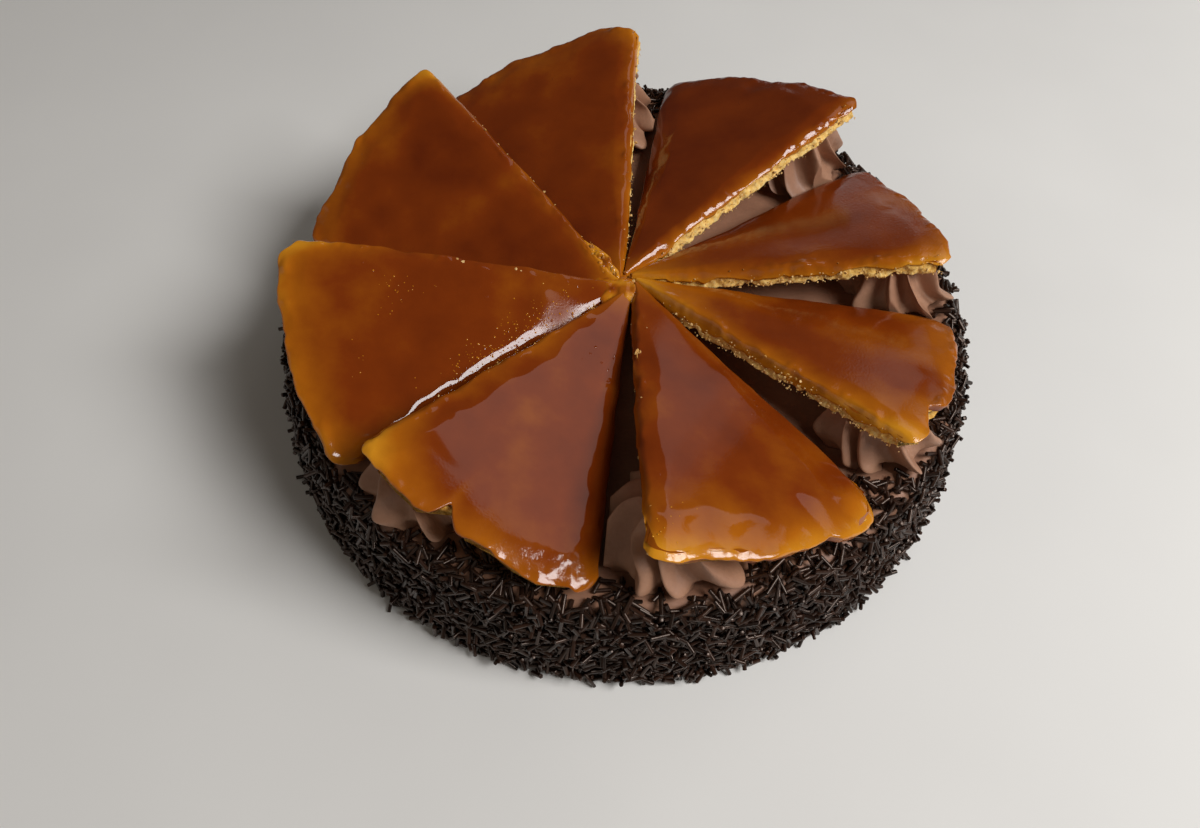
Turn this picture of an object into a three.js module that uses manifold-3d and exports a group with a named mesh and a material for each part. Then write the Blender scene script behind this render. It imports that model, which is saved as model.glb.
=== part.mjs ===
// Dobos torte: a drum of cake in chocolate buttercream, set with chocolate vermicelli, under a crown
// of eight sponge slices glazed with caramel. The slices lean like the vanes of a pinwheel: one long
// edge of each lies on the cake, and the other is propped on a piped star rosette.
// Millimetres, +Z up. The origin is the centre of the flat base, and +Y points to the far side of the cake.
import * as THREE from "three";
import { mergeVertices } from "three/addons/utils/BufferGeometryUtils.js";
import Module from "manifold-3d";

const wasm = await Module();
wasm.setup();

// Air left between two pieces that touch.
const CLEARANCE = 0.3;

// Drum of cake and buttercream.
const FOOT_RADIUS = 119;
const RIM_RADIUS = 114.5;
const RIM_ROUND = 5;
const DRUM_HEIGHT = 40;
const DRUM_SIDES = 72;
const CURVE_STEPS = 4;
const MOUND_RADIUS = 60;
const MOUND_RISE = 3.7;

// Chocolate vermicelli on the side and the rim.
const SPRINKLE_COUNT = 168;
const SPRINKLE_LENGTH = 7;
const SPRINKLE_RADIUS = 1;
const SPRINKLE_SIDES = 4;
const SPRINKLE_PROUD = 0.35;
const SPRINKLE_LIFT = 20;
const SPRINKLE_ROOM = 1.3;
const RIM_BAND = 6;
const SPRINKLE_SEED = 7;

// Slices of sponge with caramel on top.
const SPONGE_THICKNESS = 4.2;
const CARAMEL_THICKNESS = 2;
const SLICE_THICKNESS = SPONGE_THICKNESS + CLEARANCE + CARAMEL_THICKNESS;
const CARAMEL_LIP = 0.8;
const SKIRT_DROP = 3.2;
const SKIRT_THICKNESS = 1.6;
const TIP_UNDERSIDE = 44.4;
const LOW_CORNER_UNDERSIDE = 40.6;
const TIP_HOLE_RADIUS = 3.5;
const TIP_HOLE_SIDES = 12;
const LOW_CORNER_ROUND = 7;
const RAISED_CORNER_ROUND = 3;
const EDGE_STEPS = 18;
const EDGE_WAVE = 0.6;
const EDGE_WAVES = 2.6;
const NICK_WIDTH = 3.5;

// How each slice lies: azimuth of its low edge, angle between its long edges and tilt, all in degrees,
// and its reach. A nick in the outer edge has a depth and a place, from 0 at the low corner to 1 at the
// raised corner.
const SLICES = [
  { low: -137, span: 41.5, tilt: 18.5, reach: 113, nickAt: 0.97, nickDepth: 3 },
  { low: -92.5, span: 41, tilt: 19, reach: 112, nickAt: 0.6, nickDepth: 3 },
  { low: -45.5, span: 42.5, tilt: 20, reach: 113, nickAt: 0.3, nickDepth: 1.5 },
  { low: -3, span: 37, tilt: 15, reach: 109, nickAt: 0.78, nickDepth: 2.5 },
  { low: 38, span: 39, tilt: 18, reach: 106.5, nickAt: 0.5, nickDepth: 0.5 },
  { low: 84, span: 43.5, tilt: 18.5, reach: 111.5, nickAt: 0.4, nickDepth: 0.5 },
  { low: 133, span: 44, tilt: 17, reach: 116, nickAt: 0.35, nickDepth: 1 },
  { low: 175, span: 43, tilt: 21.7, reach: 111.5, nickAt: 0.5, nickDepth: 0.5 },
];

// Piped star rosettes.
const ROSETTE_RADIUS = 20;
const ROSETTE_HEIGHT = 30;
const ROSETTE_LOBES = 9;
const ROSETTE_SIDES = 3 * ROSETTE_LOBES;
const ROSETTE_GROOVE = 0.4;
const ROSETTE_CREST = 2.4;
const ROSETTE_TWIST = 50;
const ROSETTE_REACH = 93;
const ROSETTE_INSET = 7;

// Room for the cutting solids, and the distance within which two vertices are one.
const FAR = 200;
const CUT_TOP = 110;
const CUT_MARGIN = 0.15;
const QUARTER_TURN = 90;
const WELD = 1e-3;

const buttercream = new THREE.MeshStandardMaterial({ color: 0x7d5744, roughness: 0.55, metalness: 0 });
const rosetteCream = new THREE.MeshStandardMaterial({ color: 0x8c654f, roughness: 0.5, metalness: 0 });
const sponge = new THREE.MeshStandardMaterial({ color: 0xc99a4b, roughness: 0.9, metalness: 0 });
const caramel = new THREE.MeshStandardMaterial({ color: 0x8a3f10, roughness: 0.12, metalness: 0 });

const radians = THREE.MathUtils.degToRad;

// A closed geometry as a solid that can be joined and cut.
function toSolid(geometry) {
  const bare = new THREE.BufferGeometry();
  bare.setAttribute("position", geometry.getAttribute("position"));
  bare.setIndex(geometry.getIndex());
  const welded = mergeVertices(bare, WELD);
  const vertProperties = welded.getAttribute("position").array;
  const triVerts = new Uint32Array(welded.getIndex().array);
  return new wasm.Manifold(new wasm.Mesh({ numProp: 3, vertProperties, triVerts }));
}

// A joined or cut solid as a named mesh.
function toMesh(solid, name, material) {
  const { vertProperties, triVerts } = solid.getMesh();
  const geometry = new THREE.BufferGeometry();
  geometry.setAttribute("position", new THREE.BufferAttribute(vertProperties, 3));
  geometry.setIndex(new THREE.BufferAttribute(triVerts, 1));
  geometry.computeVertexNormals();
  const mesh = new THREE.Mesh(geometry, material);
  mesh.name = name;
  return mesh;
}

// Seeded random numbers from 0 to 1.
function randomSource(seed) {
  let state = seed;
  return () => {
    state = (state + 0x6d2b79f5) | 0;
    let mixed = Math.imul(state ^ (state >>> 15), 1 | state);
    mixed = (mixed + Math.imul(mixed ^ (mixed >>> 7), 61 | mixed)) ^ mixed;
    return ((mixed ^ (mixed >>> 14)) >>> 0) / 2 ** 32;
  };
}

// A solid of revolution about +Z from a profile of radius and height.
function revolve(profile, sides) {
  return new THREE.LatheGeometry(profile, sides).rotateX(Math.PI / 2);
}

// An upright sector between two azimuths in degrees, with both its faces drawn in by an inset.
function sectorSolid(from, to, inset) {
  const half = radians((to - from) / 2);
  const start = inset / Math.sin(half);
  const side = FAR / Math.cos(half);
  const shape = new THREE.Shape();
  shape.moveTo(start, 0);
  shape.lineTo(start + side * Math.cos(half), -side * Math.sin(half));
  shape.lineTo(start + side * Math.cos(half), side * Math.sin(half));
  const prism = new THREE.ExtrudeGeometry(shape, { depth: CUT_TOP, bevelEnabled: false });
  return toSolid(prism.rotateZ(radians((from + to) / 2)));
}

// Azimuth of a slice's raised edge, seen from above.
function raisedAzimuth({ low, span, tilt }) {
  const across = Math.tan(radians(span)) * Math.cos(radians(tilt));
  return low - THREE.MathUtils.radToDeg(Math.atan(across));
}

// The slice before and the slice after, counted anticlockwise from above, with azimuths that run on.
function neighbours(index) {
  const count = SLICES.length;
  const before = { ...SLICES[(index + count - 1) % count] };
  const after = { ...SLICES[(index + 1) % count] };
  before.low -= index === 0 ? 360 : 0;
  after.low += index === count - 1 ? 360 : 0;
  return { before, after };
}

// Radius of a slice's outer edge at t, from 0 at the low corner to 1 at the raised corner.
function edgeRadius(slice, t) {
  const edgeLength = slice.reach * radians(slice.span);
  const wave = EDGE_WAVE * Math.sin(2 * Math.PI * EDGE_WAVES * t + slice.low);
  const nick = slice.nickDepth * Math.exp(-((((t - slice.nickAt) * edgeLength) / NICK_WIDTH) ** 2));
  const nearLow = Math.max(0, 1 - (t * edgeLength) / LOW_CORNER_ROUND);
  const nearRaised = Math.max(0, 1 - ((1 - t) * edgeLength) / RAISED_CORNER_ROUND);
  const corners = LOW_CORNER_ROUND * nearLow ** 2 + RAISED_CORNER_ROUND * nearRaised ** 2;
  return slice.reach + wave - nick - corners;
}

// Outline of a slice in its own plane: the low edge lies along +X and the raised edge turns towards -Y.
// A shortfall draws the outer edge in, and a margin carries both long edges outwards past the slice.
function sliceOutline(slice, shortfall, margin) {
  const span = radians(slice.span);
  const edgePoint = (t, angle) => {
    const radius = edgeRadius(slice, t) - shortfall;
    return new THREE.Vector2(radius * Math.cos(angle), -radius * Math.sin(angle));
  };
  const points = [];
  for (let step = 0; step <= EDGE_STEPS; step += 1) {
    const t = 1 - step / EDGE_STEPS;
    points.push(edgePoint(t, span * t));
  }
  if (margin > 0) {
    points.unshift(edgePoint(1, span * (1 + margin)));
    points.push(edgePoint(0, -span * margin));
  }
  const back = margin * slice.reach;
  points.push(new THREE.Vector2(-back * Math.cos(span / 2), back * Math.sin(span / 2)));
  return new THREE.Shape(points);
}

// The tilted seat of a slice: its plane z = 0 is the underside of the sponge.
function sliceSeat(slice) {
  const droop = Math.atan((TIP_UNDERSIDE - LOW_CORNER_UNDERSIDE) / slice.reach);
  const seat = new THREE.Group();
  seat.rotation.set(-radians(slice.tilt), droop, radians(slice.low), "ZYX");
  seat.position.set(0, 0, TIP_UNDERSIDE);
  seat.updateMatrix();
  return seat;
}

// What trims a slice so that it clears its neighbours and the small gap where the tips meet.
function trimSolid(index) {
  const { before, after } = neighbours(index);
  const slice = SLICES[index];
  const from = (before.low + raisedAzimuth(slice)) / 2;
  const to = (slice.low + raisedAzimuth(after)) / 2;
  const core = new THREE.CylinderGeometry(TIP_HOLE_RADIUS, TIP_HOLE_RADIUS, 2 * CUT_TOP, TIP_HOLE_SIDES);
  return sectorSolid(from, to, CLEARANCE / 2).subtract(toSolid(core.rotateX(Math.PI / 2)));
}

// The sponge layer of a slice, in the frame of its seat.
function spongeSolid(slice) {
  const outline = sliceOutline(slice, SKIRT_THICKNESS + CLEARANCE, 0);
  return toSolid(new THREE.ExtrudeGeometry(outline, { depth: SPONGE_THICKNESS, bevelEnabled: false }));
}

// The caramel of a slice: a layer with a softened lip that runs down over the outer edge as a skirt.
function caramelSolid(slice) {
  const seam = SPONGE_THICKNESS + CLEARANCE;
  const full = CARAMEL_THICKNESS + SKIRT_DROP;
  const poured = new THREE.ExtrudeGeometry(sliceOutline(slice, 0, 0), {
    depth: full - 2 * CARAMEL_LIP,
    bevelThickness: CARAMEL_LIP,
    bevelSize: CARAMEL_LIP,
    bevelOffset: -CARAMEL_LIP,
    bevelSegments: 1,
  });
  poured.translate(0, 0, seam - SKIRT_DROP + CARAMEL_LIP);
  const under = sliceOutline(slice, SKIRT_THICKNESS, CUT_MARGIN);
  const hollow = new THREE.ExtrudeGeometry(under, { depth: FAR, bevelEnabled: false });
  hollow.translate(0, 0, seam - FAR);
  return toSolid(poured).subtract(toSolid(hollow));
}

// A piped star: fat arms with hollows between them, which bulge above the foot and twist as they rise.
function rosetteGeometry() {
  const outline = [
    [0, 0],
    [0.84, 0],
    [1.05, 0.14],
    [0.93, 0.28],
    [0.75, 0.5],
    [0.42, 0.78],
    [0, 1],
  ];
  const profile = outline.map(([r, z]) => new THREE.Vector2(r * ROSETTE_RADIUS, z * ROSETTE_HEIGHT));
  const geometry = revolve(profile, ROSETTE_SIDES);
  const place = geometry.getAttribute("position");
  for (let i = 0; i < place.count; i += 1) {
    const radius = Math.hypot(place.getX(i), place.getY(i));
    const turn = Math.atan2(place.getY(i), place.getX(i));
    const hollow = Math.abs(Math.sin((ROSETTE_LOBES / 2) * turn)) ** ROSETTE_CREST;
    const lobed = radius * (1 - ROSETTE_GROOVE * hollow);
    const twisted = turn - (radians(ROSETTE_TWIST) * place.getZ(i)) / ROSETTE_HEIGHT;
    place.setXY(i, lobed * Math.cos(twisted), lobed * Math.sin(twisted));
  }
  return geometry;
}

// Where a rosette stands: near the rim, just inside the raised edge of its slice.
function rosetteSeat(slice) {
  const azimuth = radians(raisedAzimuth(slice) + ROSETTE_INSET);
  const seat = new THREE.Group();
  seat.position.set(ROSETTE_REACH * Math.cos(azimuth), ROSETTE_REACH * Math.sin(azimuth), 0);
  seat.position.setZ(DRUM_HEIGHT + CLEARANCE);
  seat.rotation.z = azimuth * ROSETTE_LOBES;
  seat.updateMatrix();
  return seat;
}

// A rosette pressed flat under its slice and kept clear of the low edge of the slice before it.
function rosetteSolid(index, seat, tilted) {
  const { before } = neighbours(index);
  const press = new THREE.BoxGeometry(2 * FAR, 2 * FAR, FAR);
  press.translate(0, 0, -FAR / 2 - CLEARANCE);
  const below = toSolid(press.applyMatrix4(tilted.matrix));
  const overhang = SLICE_THICKNESS * Math.sin(radians(before.tilt));
  const beside = sectorSolid(before.low, before.low + QUARTER_TURN, overhang + CLEARANCE);
  const dollop = toSolid(rosetteGeometry().applyMatrix4(seat.matrix));
  return dollop.intersect(below).intersect(beside);
}

// The drum: a tapered side, a rounded rim and a low mound of cream in the middle of the top.
function drumSolid() {
  const profile = new THREE.Path();
  profile.moveTo(0, 0);
  profile.lineTo(FOOT_RADIUS, 0);
  profile.lineTo(RIM_RADIUS, DRUM_HEIGHT - RIM_ROUND);
  profile.absarc(RIM_RADIUS - RIM_ROUND, DRUM_HEIGHT - RIM_ROUND, RIM_ROUND, 0, Math.PI / 2);
  profile.lineTo(MOUND_RADIUS, DRUM_HEIGHT);
  const peak = DRUM_HEIGHT + MOUND_RISE;
  profile.bezierCurveTo(MOUND_RADIUS / 2, DRUM_HEIGHT, MOUND_RADIUS / 2, peak, 0, peak);
  return toSolid(revolve(profile.getPoints(CURVE_STEPS), DRUM_SIDES));
}

// The line up the side and over the rim that the vermicelli cover.
function coveredLine() {
  const line = new THREE.Path();
  line.moveTo(FOOT_RADIUS, 0);
  line.lineTo(RIM_RADIUS, DRUM_HEIGHT - RIM_ROUND);
  line.absarc(RIM_RADIUS - RIM_ROUND, DRUM_HEIGHT - RIM_ROUND, RIM_ROUND, 0, Math.PI / 2);
  line.lineTo(RIM_RADIUS - RIM_ROUND - RIM_BAND, DRUM_HEIGHT);
  return line;
}

// One strand at its place: spread evenly by the golden angle, turned and lifted at random.
function sprinkleMatrix(index, line, random) {
  const along = (index + 0.5) / SPRINKLE_COUNT;
  const azimuth = index * Math.PI * (3 - Math.sqrt(5));
  const spot = line.getPointAt(along);
  const slope = line.getTangentAt(along);
  const outward = new THREE.Vector3(Math.cos(azimuth), Math.sin(azimuth), 0);
  const around = new THREE.Vector3(-Math.sin(azimuth), Math.cos(azimuth), 0);
  const upward = outward.clone().multiplyScalar(slope.x).setZ(slope.y);
  const normal = new THREE.Vector3().crossVectors(around, upward);
  const turn = Math.PI * random();
  const lift = radians(SPRINKLE_LIFT) * (2 * random() - 1);
  const axis = around.multiplyScalar(Math.cos(turn)).addScaledVector(upward, Math.sin(turn));
  axis.multiplyScalar(Math.cos(lift)).addScaledVector(normal, Math.sin(lift));
  const place = outward.clone().multiplyScalar(spot.x).setZ(spot.y).addScaledVector(normal, SPRINKLE_PROUD);
  const lowest = place.z - (Math.abs(axis.z) * SPRINKLE_LENGTH) / 2 - SPRINKLE_RADIUS;
  if (lowest < CLEARANCE) {
    place.addScaledVector(upward, (CLEARANCE - lowest) / upward.z);
  }
  const turned = new THREE.Quaternion().setFromUnitVectors(new THREE.Vector3(0, 1, 0), axis);
  return new THREE.Matrix4().compose(place, turned, new THREE.Vector3(1, 1, 1));
}

// The drum with its strands of vermicelli fused on, each clear of the crown.
function cakeBodySolid(crown) {
  const random = randomSource(SPRINKLE_SEED);
  const line = coveredLine();
  const [radius, length] = [SPRINKLE_RADIUS, SPRINKLE_LENGTH];
  const strand = new THREE.CylinderGeometry(radius, radius, length, SPRINKLE_SIDES);
  const roomy = strand.clone().scale(SPRINKLE_ROOM, SPRINKLE_ROOM, SPRINKLE_ROOM);
  let body = drumSolid();
  for (let i = 0; i < SPRINKLE_COUNT; i += 1) {
    const matrix = sprinkleMatrix(i, line, random);
    const room = toSolid(roomy.clone().applyMatrix4(matrix));
    if (room.intersect(crown).isEmpty()) {
      body = body.add(toSolid(strand.clone().applyMatrix4(matrix)));
    }
  }
  return body;
}

const torte = new THREE.Group();
let crown = null;

// Adds a piece made in place to the crown that the vermicelli keep clear of.
function joinCrown(solid) {
  crown = crown === null ? solid : crown.add(solid);
}

SLICES.forEach((slice, index) => {
  const number = index + 1;
  const seat = sliceSeat(slice);
  const trim = trimSolid(index).transform(seat.matrix.clone().invert().elements);
  const layers = [
    ["sponge", spongeSolid(slice).intersect(trim), sponge],
    ["caramel", caramelSolid(slice).intersect(trim), caramel],
  ];
  layers.forEach(([layer, solid, material]) => {
    seat.add(toMesh(solid, `${layer}_${number}`, material));
    joinCrown(solid.transform(seat.matrix.elements));
  });
  torte.add(seat);

  const stand = rosetteSeat(slice);
  const pressed = rosetteSolid(index, stand, seat);
  joinCrown(pressed);
  torte.add(toMesh(pressed, `rosette_${number}`, rosetteCream));
});

torte.add(toMesh(cakeBodySolid(crown), "cake_body", buttercream));

export default torte;
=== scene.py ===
# %% [markdown]
# # A dobos torte with a crown of caramel slices
#
# A dobos torte is a low cake coated in chocolate buttercream. Its lid is a thin sponge covered with
# caramel, cut into slices before the caramel sets, and the slices are propped up like the vanes of a
# pinwheel. This lesson dresses the plain solids of such a cake. The solids come first, because they
# give every piece its place and size.

# %% Load the solids
import math

import bmesh
import bpy
import numpy as np
from mathutils import Matrix, Quaternion, Vector


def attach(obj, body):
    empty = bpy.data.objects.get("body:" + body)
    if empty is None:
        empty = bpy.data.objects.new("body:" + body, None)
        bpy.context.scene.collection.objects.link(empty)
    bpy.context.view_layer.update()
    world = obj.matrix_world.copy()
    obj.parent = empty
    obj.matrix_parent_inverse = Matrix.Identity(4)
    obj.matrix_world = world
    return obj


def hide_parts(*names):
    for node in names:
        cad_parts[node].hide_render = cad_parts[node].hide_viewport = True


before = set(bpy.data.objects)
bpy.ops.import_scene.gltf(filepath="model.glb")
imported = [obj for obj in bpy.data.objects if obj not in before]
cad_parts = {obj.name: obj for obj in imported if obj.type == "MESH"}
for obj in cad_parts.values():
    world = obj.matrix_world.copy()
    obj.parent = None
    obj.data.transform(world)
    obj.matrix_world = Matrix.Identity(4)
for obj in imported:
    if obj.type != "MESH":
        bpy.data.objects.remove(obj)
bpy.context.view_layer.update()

# %% [markdown]
# ## The camera
#
# The cake is seen from close by and from above, so its near side looks larger than its far side. A short
# lens at the true distance gives that look. The camera could be dragged into place by hand, but numbers
# keep the view the same on every run: a place, a target on the table and a small roll.

# %% Place the camera
CAMERA_PLACE = Vector((0.0002, -0.2148, 0.2914))
CAMERA_TARGET = Vector((-0.0072, -0.0208, 0.0))
CAMERA_ROLL = math.radians(1.6)
LENS = 28.5
SENSOR_WIDTH = 36.0

camera_data = bpy.data.cameras.new("camera")
camera_data.lens = LENS
camera_data.sensor_fit = "HORIZONTAL"
camera_data.sensor_width = SENSOR_WIDTH
camera_data.clip_start = 0.01
camera = bpy.data.objects.new("camera", camera_data)
camera.location = CAMERA_PLACE
camera.rotation_mode = "QUATERNION"
aim = (CAMERA_TARGET - CAMERA_PLACE).to_track_quat("-Z", "Y")
camera.rotation_quaternion = aim @ Quaternion((0, 0, 1), CAMERA_ROLL)
bpy.context.scene.collection.objects.link(camera)
bpy.context.scene.camera = camera
print("camera distance:", round(CAMERA_PLACE.length, 3), "m")

# %% [markdown]
# ## From arrays to meshes
#
# Every piece below is a surface: two parameters run over a grid, and a formula turns each pair into a
# point. Blender needs the points and the faces between them. The helpers here number the faces of a
# grid, close a ring with a fan of triangles, and turn both into an object that sits at the origin.
# The formulas work in millimetres, as a baker measures, and the last helper turns them into metres.

# %% Mesh helpers
MM = 0.001
WELD_DISTANCE = 1e-7


def full_turn(count):
    """Angles of this many even steps, once round."""
    return np.linspace(0, 2 * np.pi, count, endpoint=False)


def grid_quads(rows, columns, wrap=False):
    """Quads of a grid stored row by row: each point joins its right neighbour and the row after it.

    With wrap the last column joins the first, so each row is a closed ring.
    """
    row = columns * np.arange(rows - 1)[:, None]
    here = np.arange(columns if wrap else columns - 1)[None, :]
    right = (here + 1) % columns
    corners = [row + here, row + right, row + columns + right, row + columns + here]
    return np.stack(corners, axis=-1).reshape(-1, 4)


def fan_triangles(loop, centre):
    """Triangles that join each step of a closed loop of point numbers to one centre point."""
    return np.stack([loop, np.roll(loop, -1), np.full(len(loop), centre)], axis=-1)


def ring_faces(rows, columns, ends=2):
    """Quads between closed rings stored row by row, and a fan at the first ring alone or at both ends.

    The points in the middle of the fans are numbered after the rings.
    """
    ring = np.arange(columns)
    faces = [grid_quads(rows, columns, wrap=True)]
    for end in range(ends):
        faces.append(fan_triangles(ring + end * (rows - 1) * columns, rows * columns + end))
    return faces


def closed_rings(rings, ends=2):
    """Points and faces of a tube: its rings, the mean point of each closed end and the faces between."""
    middles = [rings[-end].mean(axis=0, keepdims=True) for end in range(ends)]
    return np.concatenate([rings.reshape(-1, 3), *middles]), ring_faces(*rings.shape[:2], ends)


def repeat_faces(faces, size, count):
    """The same faces for each of many copies of a shape with this many points."""
    return (size * np.arange(count)[:, None, None] + faces).reshape(-1, faces.shape[1])


def put_piece(name, points, face_blocks, material, attributes=None, sharp_degrees=None):
    """Points in millimetres and arrays of faces become one smooth object that faces outwards."""
    mesh = bpy.data.meshes.new(name)
    faces = [face for block in face_blocks for face in block.tolist()]
    mesh.from_pydata((points.reshape(-1, 3) * MM).tolist(), [], faces)
    for key, values in (attributes or {}).items():
        layer = mesh.attributes.new(key, "FLOAT", "POINT")
        layer.data.foreach_set("value", np.asarray(values, np.float32).ravel())
    shape = bmesh.new()
    shape.from_mesh(mesh)
    bmesh.ops.remove_doubles(shape, verts=shape.verts, dist=WELD_DISTANCE)
    bmesh.ops.recalc_face_normals(shape, faces=shape.faces)
    shape.to_mesh(mesh)
    shape.free()
    mesh.shade_smooth()
    if sharp_degrees is not None:
        mesh.set_sharp_from_angle(angle=math.radians(sharp_degrees))
    piece = bpy.data.objects.new(name, mesh)
    piece.data.materials.append(material)
    bpy.context.scene.collection.objects.link(piece)
    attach(piece, "root")
    return piece


# %% [markdown]
# ## Unevenness
#
# Nothing a baker makes is quite even. A soft random field gives the waves of the caramel, the crags of
# the sponge and the marks of the palette knife. Blender has noise textures, but they only shade a
# surface. Here the noise moves the points, so the shape itself is uneven from every side.

# %% A soft random field
NOISE_CELLS = 64
NOISE_TABLE = np.random.default_rng(11).uniform(-1.0, 1.0, (NOISE_CELLS,) * 3)
SEED_STEP = 7.37


def smooth_step(low, high, value):
    """0 below low, 1 above high, and an S-shaped rise between them."""
    share = np.clip((value - low) / (high - low), 0.0, 1.0)
    return share * share * (3.0 - 2.0 * share)


def bell(distance, width):
    """1 at no distance, falling off on both sides: e to minus the square of distance over width."""
    return np.exp(-((distance / width) ** 2))


def soft_noise(size, seed, x, y=0.0, z=0.0):
    """Random values at the corners of cells of this size, blended inside each cell by S-shaped weights."""
    places = [np.asarray(axis, float) / size + SEED_STEP * seed for axis in (x, y, z)]
    places = np.broadcast_arrays(*places)
    cells = [np.floor(place).astype(int) for place in places]
    shares = [smooth_step(0.0, 1.0, place - cell) for place, cell in zip(places, cells)]
    total = np.zeros(places[0].shape)
    for corner in np.ndindex(2, 2, 2):
        weight = np.ones(total.shape)
        for step, share in zip(corner, shares):
            weight = weight * (share if step else 1.0 - share)
        spot = tuple((cell + step) % NOISE_CELLS for cell, step in zip(cells, corner))
        total = total + weight * NOISE_TABLE[spot]
    return total


def noise_sum(terms, seed, x, y=0.0, z=0.0):
    """Soft noise of several sizes: a term gives a weight, a size and a step that is added to the seed."""
    return sum(weight * soft_noise(size, seed + step, x, y, z) for weight, size, step in terms)


print("noise at one spot:", round(float(soft_noise(10.0, 1, 3.0, 4.0, 5.0)), 4))

# %% [markdown]
# ## Materials from nodes
#
# Each finish is a small network of nodes on the Principled shader. The patterns read Object coordinates
# or numbers stored on the points, so they stay put when the camera moves. These helpers start a
# material, add nodes and link them, mix noise into a colour ramp and add fine bumps. Numbers that are
# the same all over a surface are set straight on the shader.

# %% Material helpers


def start_material(name, **values):
    """A new material with a Principled shader whose constant sockets are set by name."""
    material = bpy.data.materials.new(name)
    material.use_nodes = True
    shader = material.node_tree.nodes["Principled BSDF"]
    for socket, value in values.items():
        shader.inputs[socket.replace("_", " ")].default_value = value
    return material, material.node_tree, shader


def add_node(tree, kind, inputs=None, **settings):
    """A node whose inputs, by name or number, get a value or a link from an output. Gives its outputs."""
    node = tree.nodes.new("ShaderNode" + kind)
    for key, value in settings.items():
        setattr(node, key, value)
    for key, value in (inputs or {}).items():
        if isinstance(value, bpy.types.NodeSocket):
            tree.links.new(value, node.inputs[key])
        else:
            node.inputs[key].default_value = value
    return node.outputs


def noise_node(tree, per_metre, detail=3.0, rough=0.55, stretch=(1, 1, 1)):
    """Noise on Object coordinates, with about this many waves to a metre."""
    place = add_node(tree, "TexCoord")["Object"]
    place = add_node(tree, "Mapping", {"Vector": place, "Scale": stretch})["Vector"]
    inputs = {"Vector": place, "Scale": per_metre, "Detail": detail, "Roughness": rough}
    return add_node(tree, "TexNoise", inputs)["Fac"]


def stored_value(tree, key):
    """A number that the piece stores on its points."""
    return add_node(tree, "Attribute", attribute_name=key)["Fac"]


def mix_in(tree, base, extra, weight):
    """base + (extra - 0.5) * weight, so that noise pushes a value both ways."""
    centred = add_node(tree, "Math", {0: extra, 1: 0.5}, operation="SUBTRACT")[0]
    return add_node(tree, "Math", {0: centred, 1: weight, 2: base}, operation="MULTIPLY_ADD")[0]


def times(tree, first, second, clamp=False):
    """The product of two values, held between 0 and 1 if it is clamped."""
    return add_node(tree, "Math", {0: first, 1: second}, operation="MULTIPLY", use_clamp=clamp)[0]


def spread(tree, value, low, high, start=0.0, stop=1.0):
    """Carries a value between start and stop onto the range from low to high."""
    inputs = {"Value": value, "From Min": start, "From Max": stop, "To Min": low, "To Max": high}
    return add_node(tree, "MapRange", inputs)["Result"]


def paint(tree, shader, value, stops):
    """A base colour for each value: the stops are pairs of a place from 0 to 1 and a linear colour."""
    ramp = tree.nodes.new("ShaderNodeValToRGB")
    elements = ramp.color_ramp.elements
    while len(elements) < len(stops):
        elements.new(1.0)
    for element, (place, colour) in zip(elements, stops):
        element.position = place
        element.color = (*colour, 1.0)
    tree.links.new(value, ramp.inputs["Fac"])
    tree.links.new(ramp.outputs["Color"], shader.inputs["Base Color"])


def vary_shine(tree, shader, per_metre, low, high):
    """Roughness that noise varies between low and high."""
    tree.links.new(spread(tree, noise_node(tree, per_metre), low, high), shader.inputs["Roughness"])


def add_bump(tree, shader, height, strength, depth):
    """Fine relief: a height pattern bends the shading, as deep as depth in metres."""
    bump = add_node(tree, "Bump", {"Strength": strength, "Distance": depth, "Height": height})
    tree.links.new(bump["Normal"], shader.inputs["Normal"])


# %% [markdown]
# ## Caramel, sponge and buttercream
#
# Poured caramel is a clear amber glass. Where it is thick it looks red-brown, and towards the edges,
# where it runs thin over the pale sponge, it turns orange and then golden. A clear shader would be slow
# and noisy for such a thin coat, so the colour follows an amber value that each slice stores on its
# points. Buttercream is a satin brown with faint streaks, and sponge is dry, pale gold and full of pores.

# %% Food materials
BUBBLES_PER_METRE = 380.0
BUBBLE_SIZE = 0.17
BUBBLY = (0.56, 0.66)
# Nearly black, for the side under the strands: as dark as the deeper strands, with painted shade for the gaps
# between them.
PACKED_STRANDS_AND_GAP_SHADE = (0.012, 0.006, 0.004, 1.0)


def grain_height(tree):
    """Pinpoint bubbles, a cone in each random cell, where a slow noise or the stored bubbles are high.

    Where the grain is strong, a fine sandy noise is added, as where sugar has begun to set.
    """
    place = add_node(tree, "TexCoord")["Object"]
    cells = add_node(tree, "TexVoronoi", {"Vector": place, "Scale": BUBBLES_PER_METRE})["Distance"]
    cone = spread(tree, cells, 1.0, 0.0, 0.0, BUBBLE_SIZE)
    patch = spread(tree, noise_node(tree, 38.0, 2.0), 0.0, 1.0, *BUBBLY)
    mask = mix_in(tree, patch, stored_value(tree, "bubbles"), 1.5)
    sandy = times(tree, noise_node(tree, 1300.0, 2.0), stored_value(tree, "grain"))
    return mix_in(tree, times(tree, cone, mask, clamp=True), sandy, 0.5)


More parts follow.
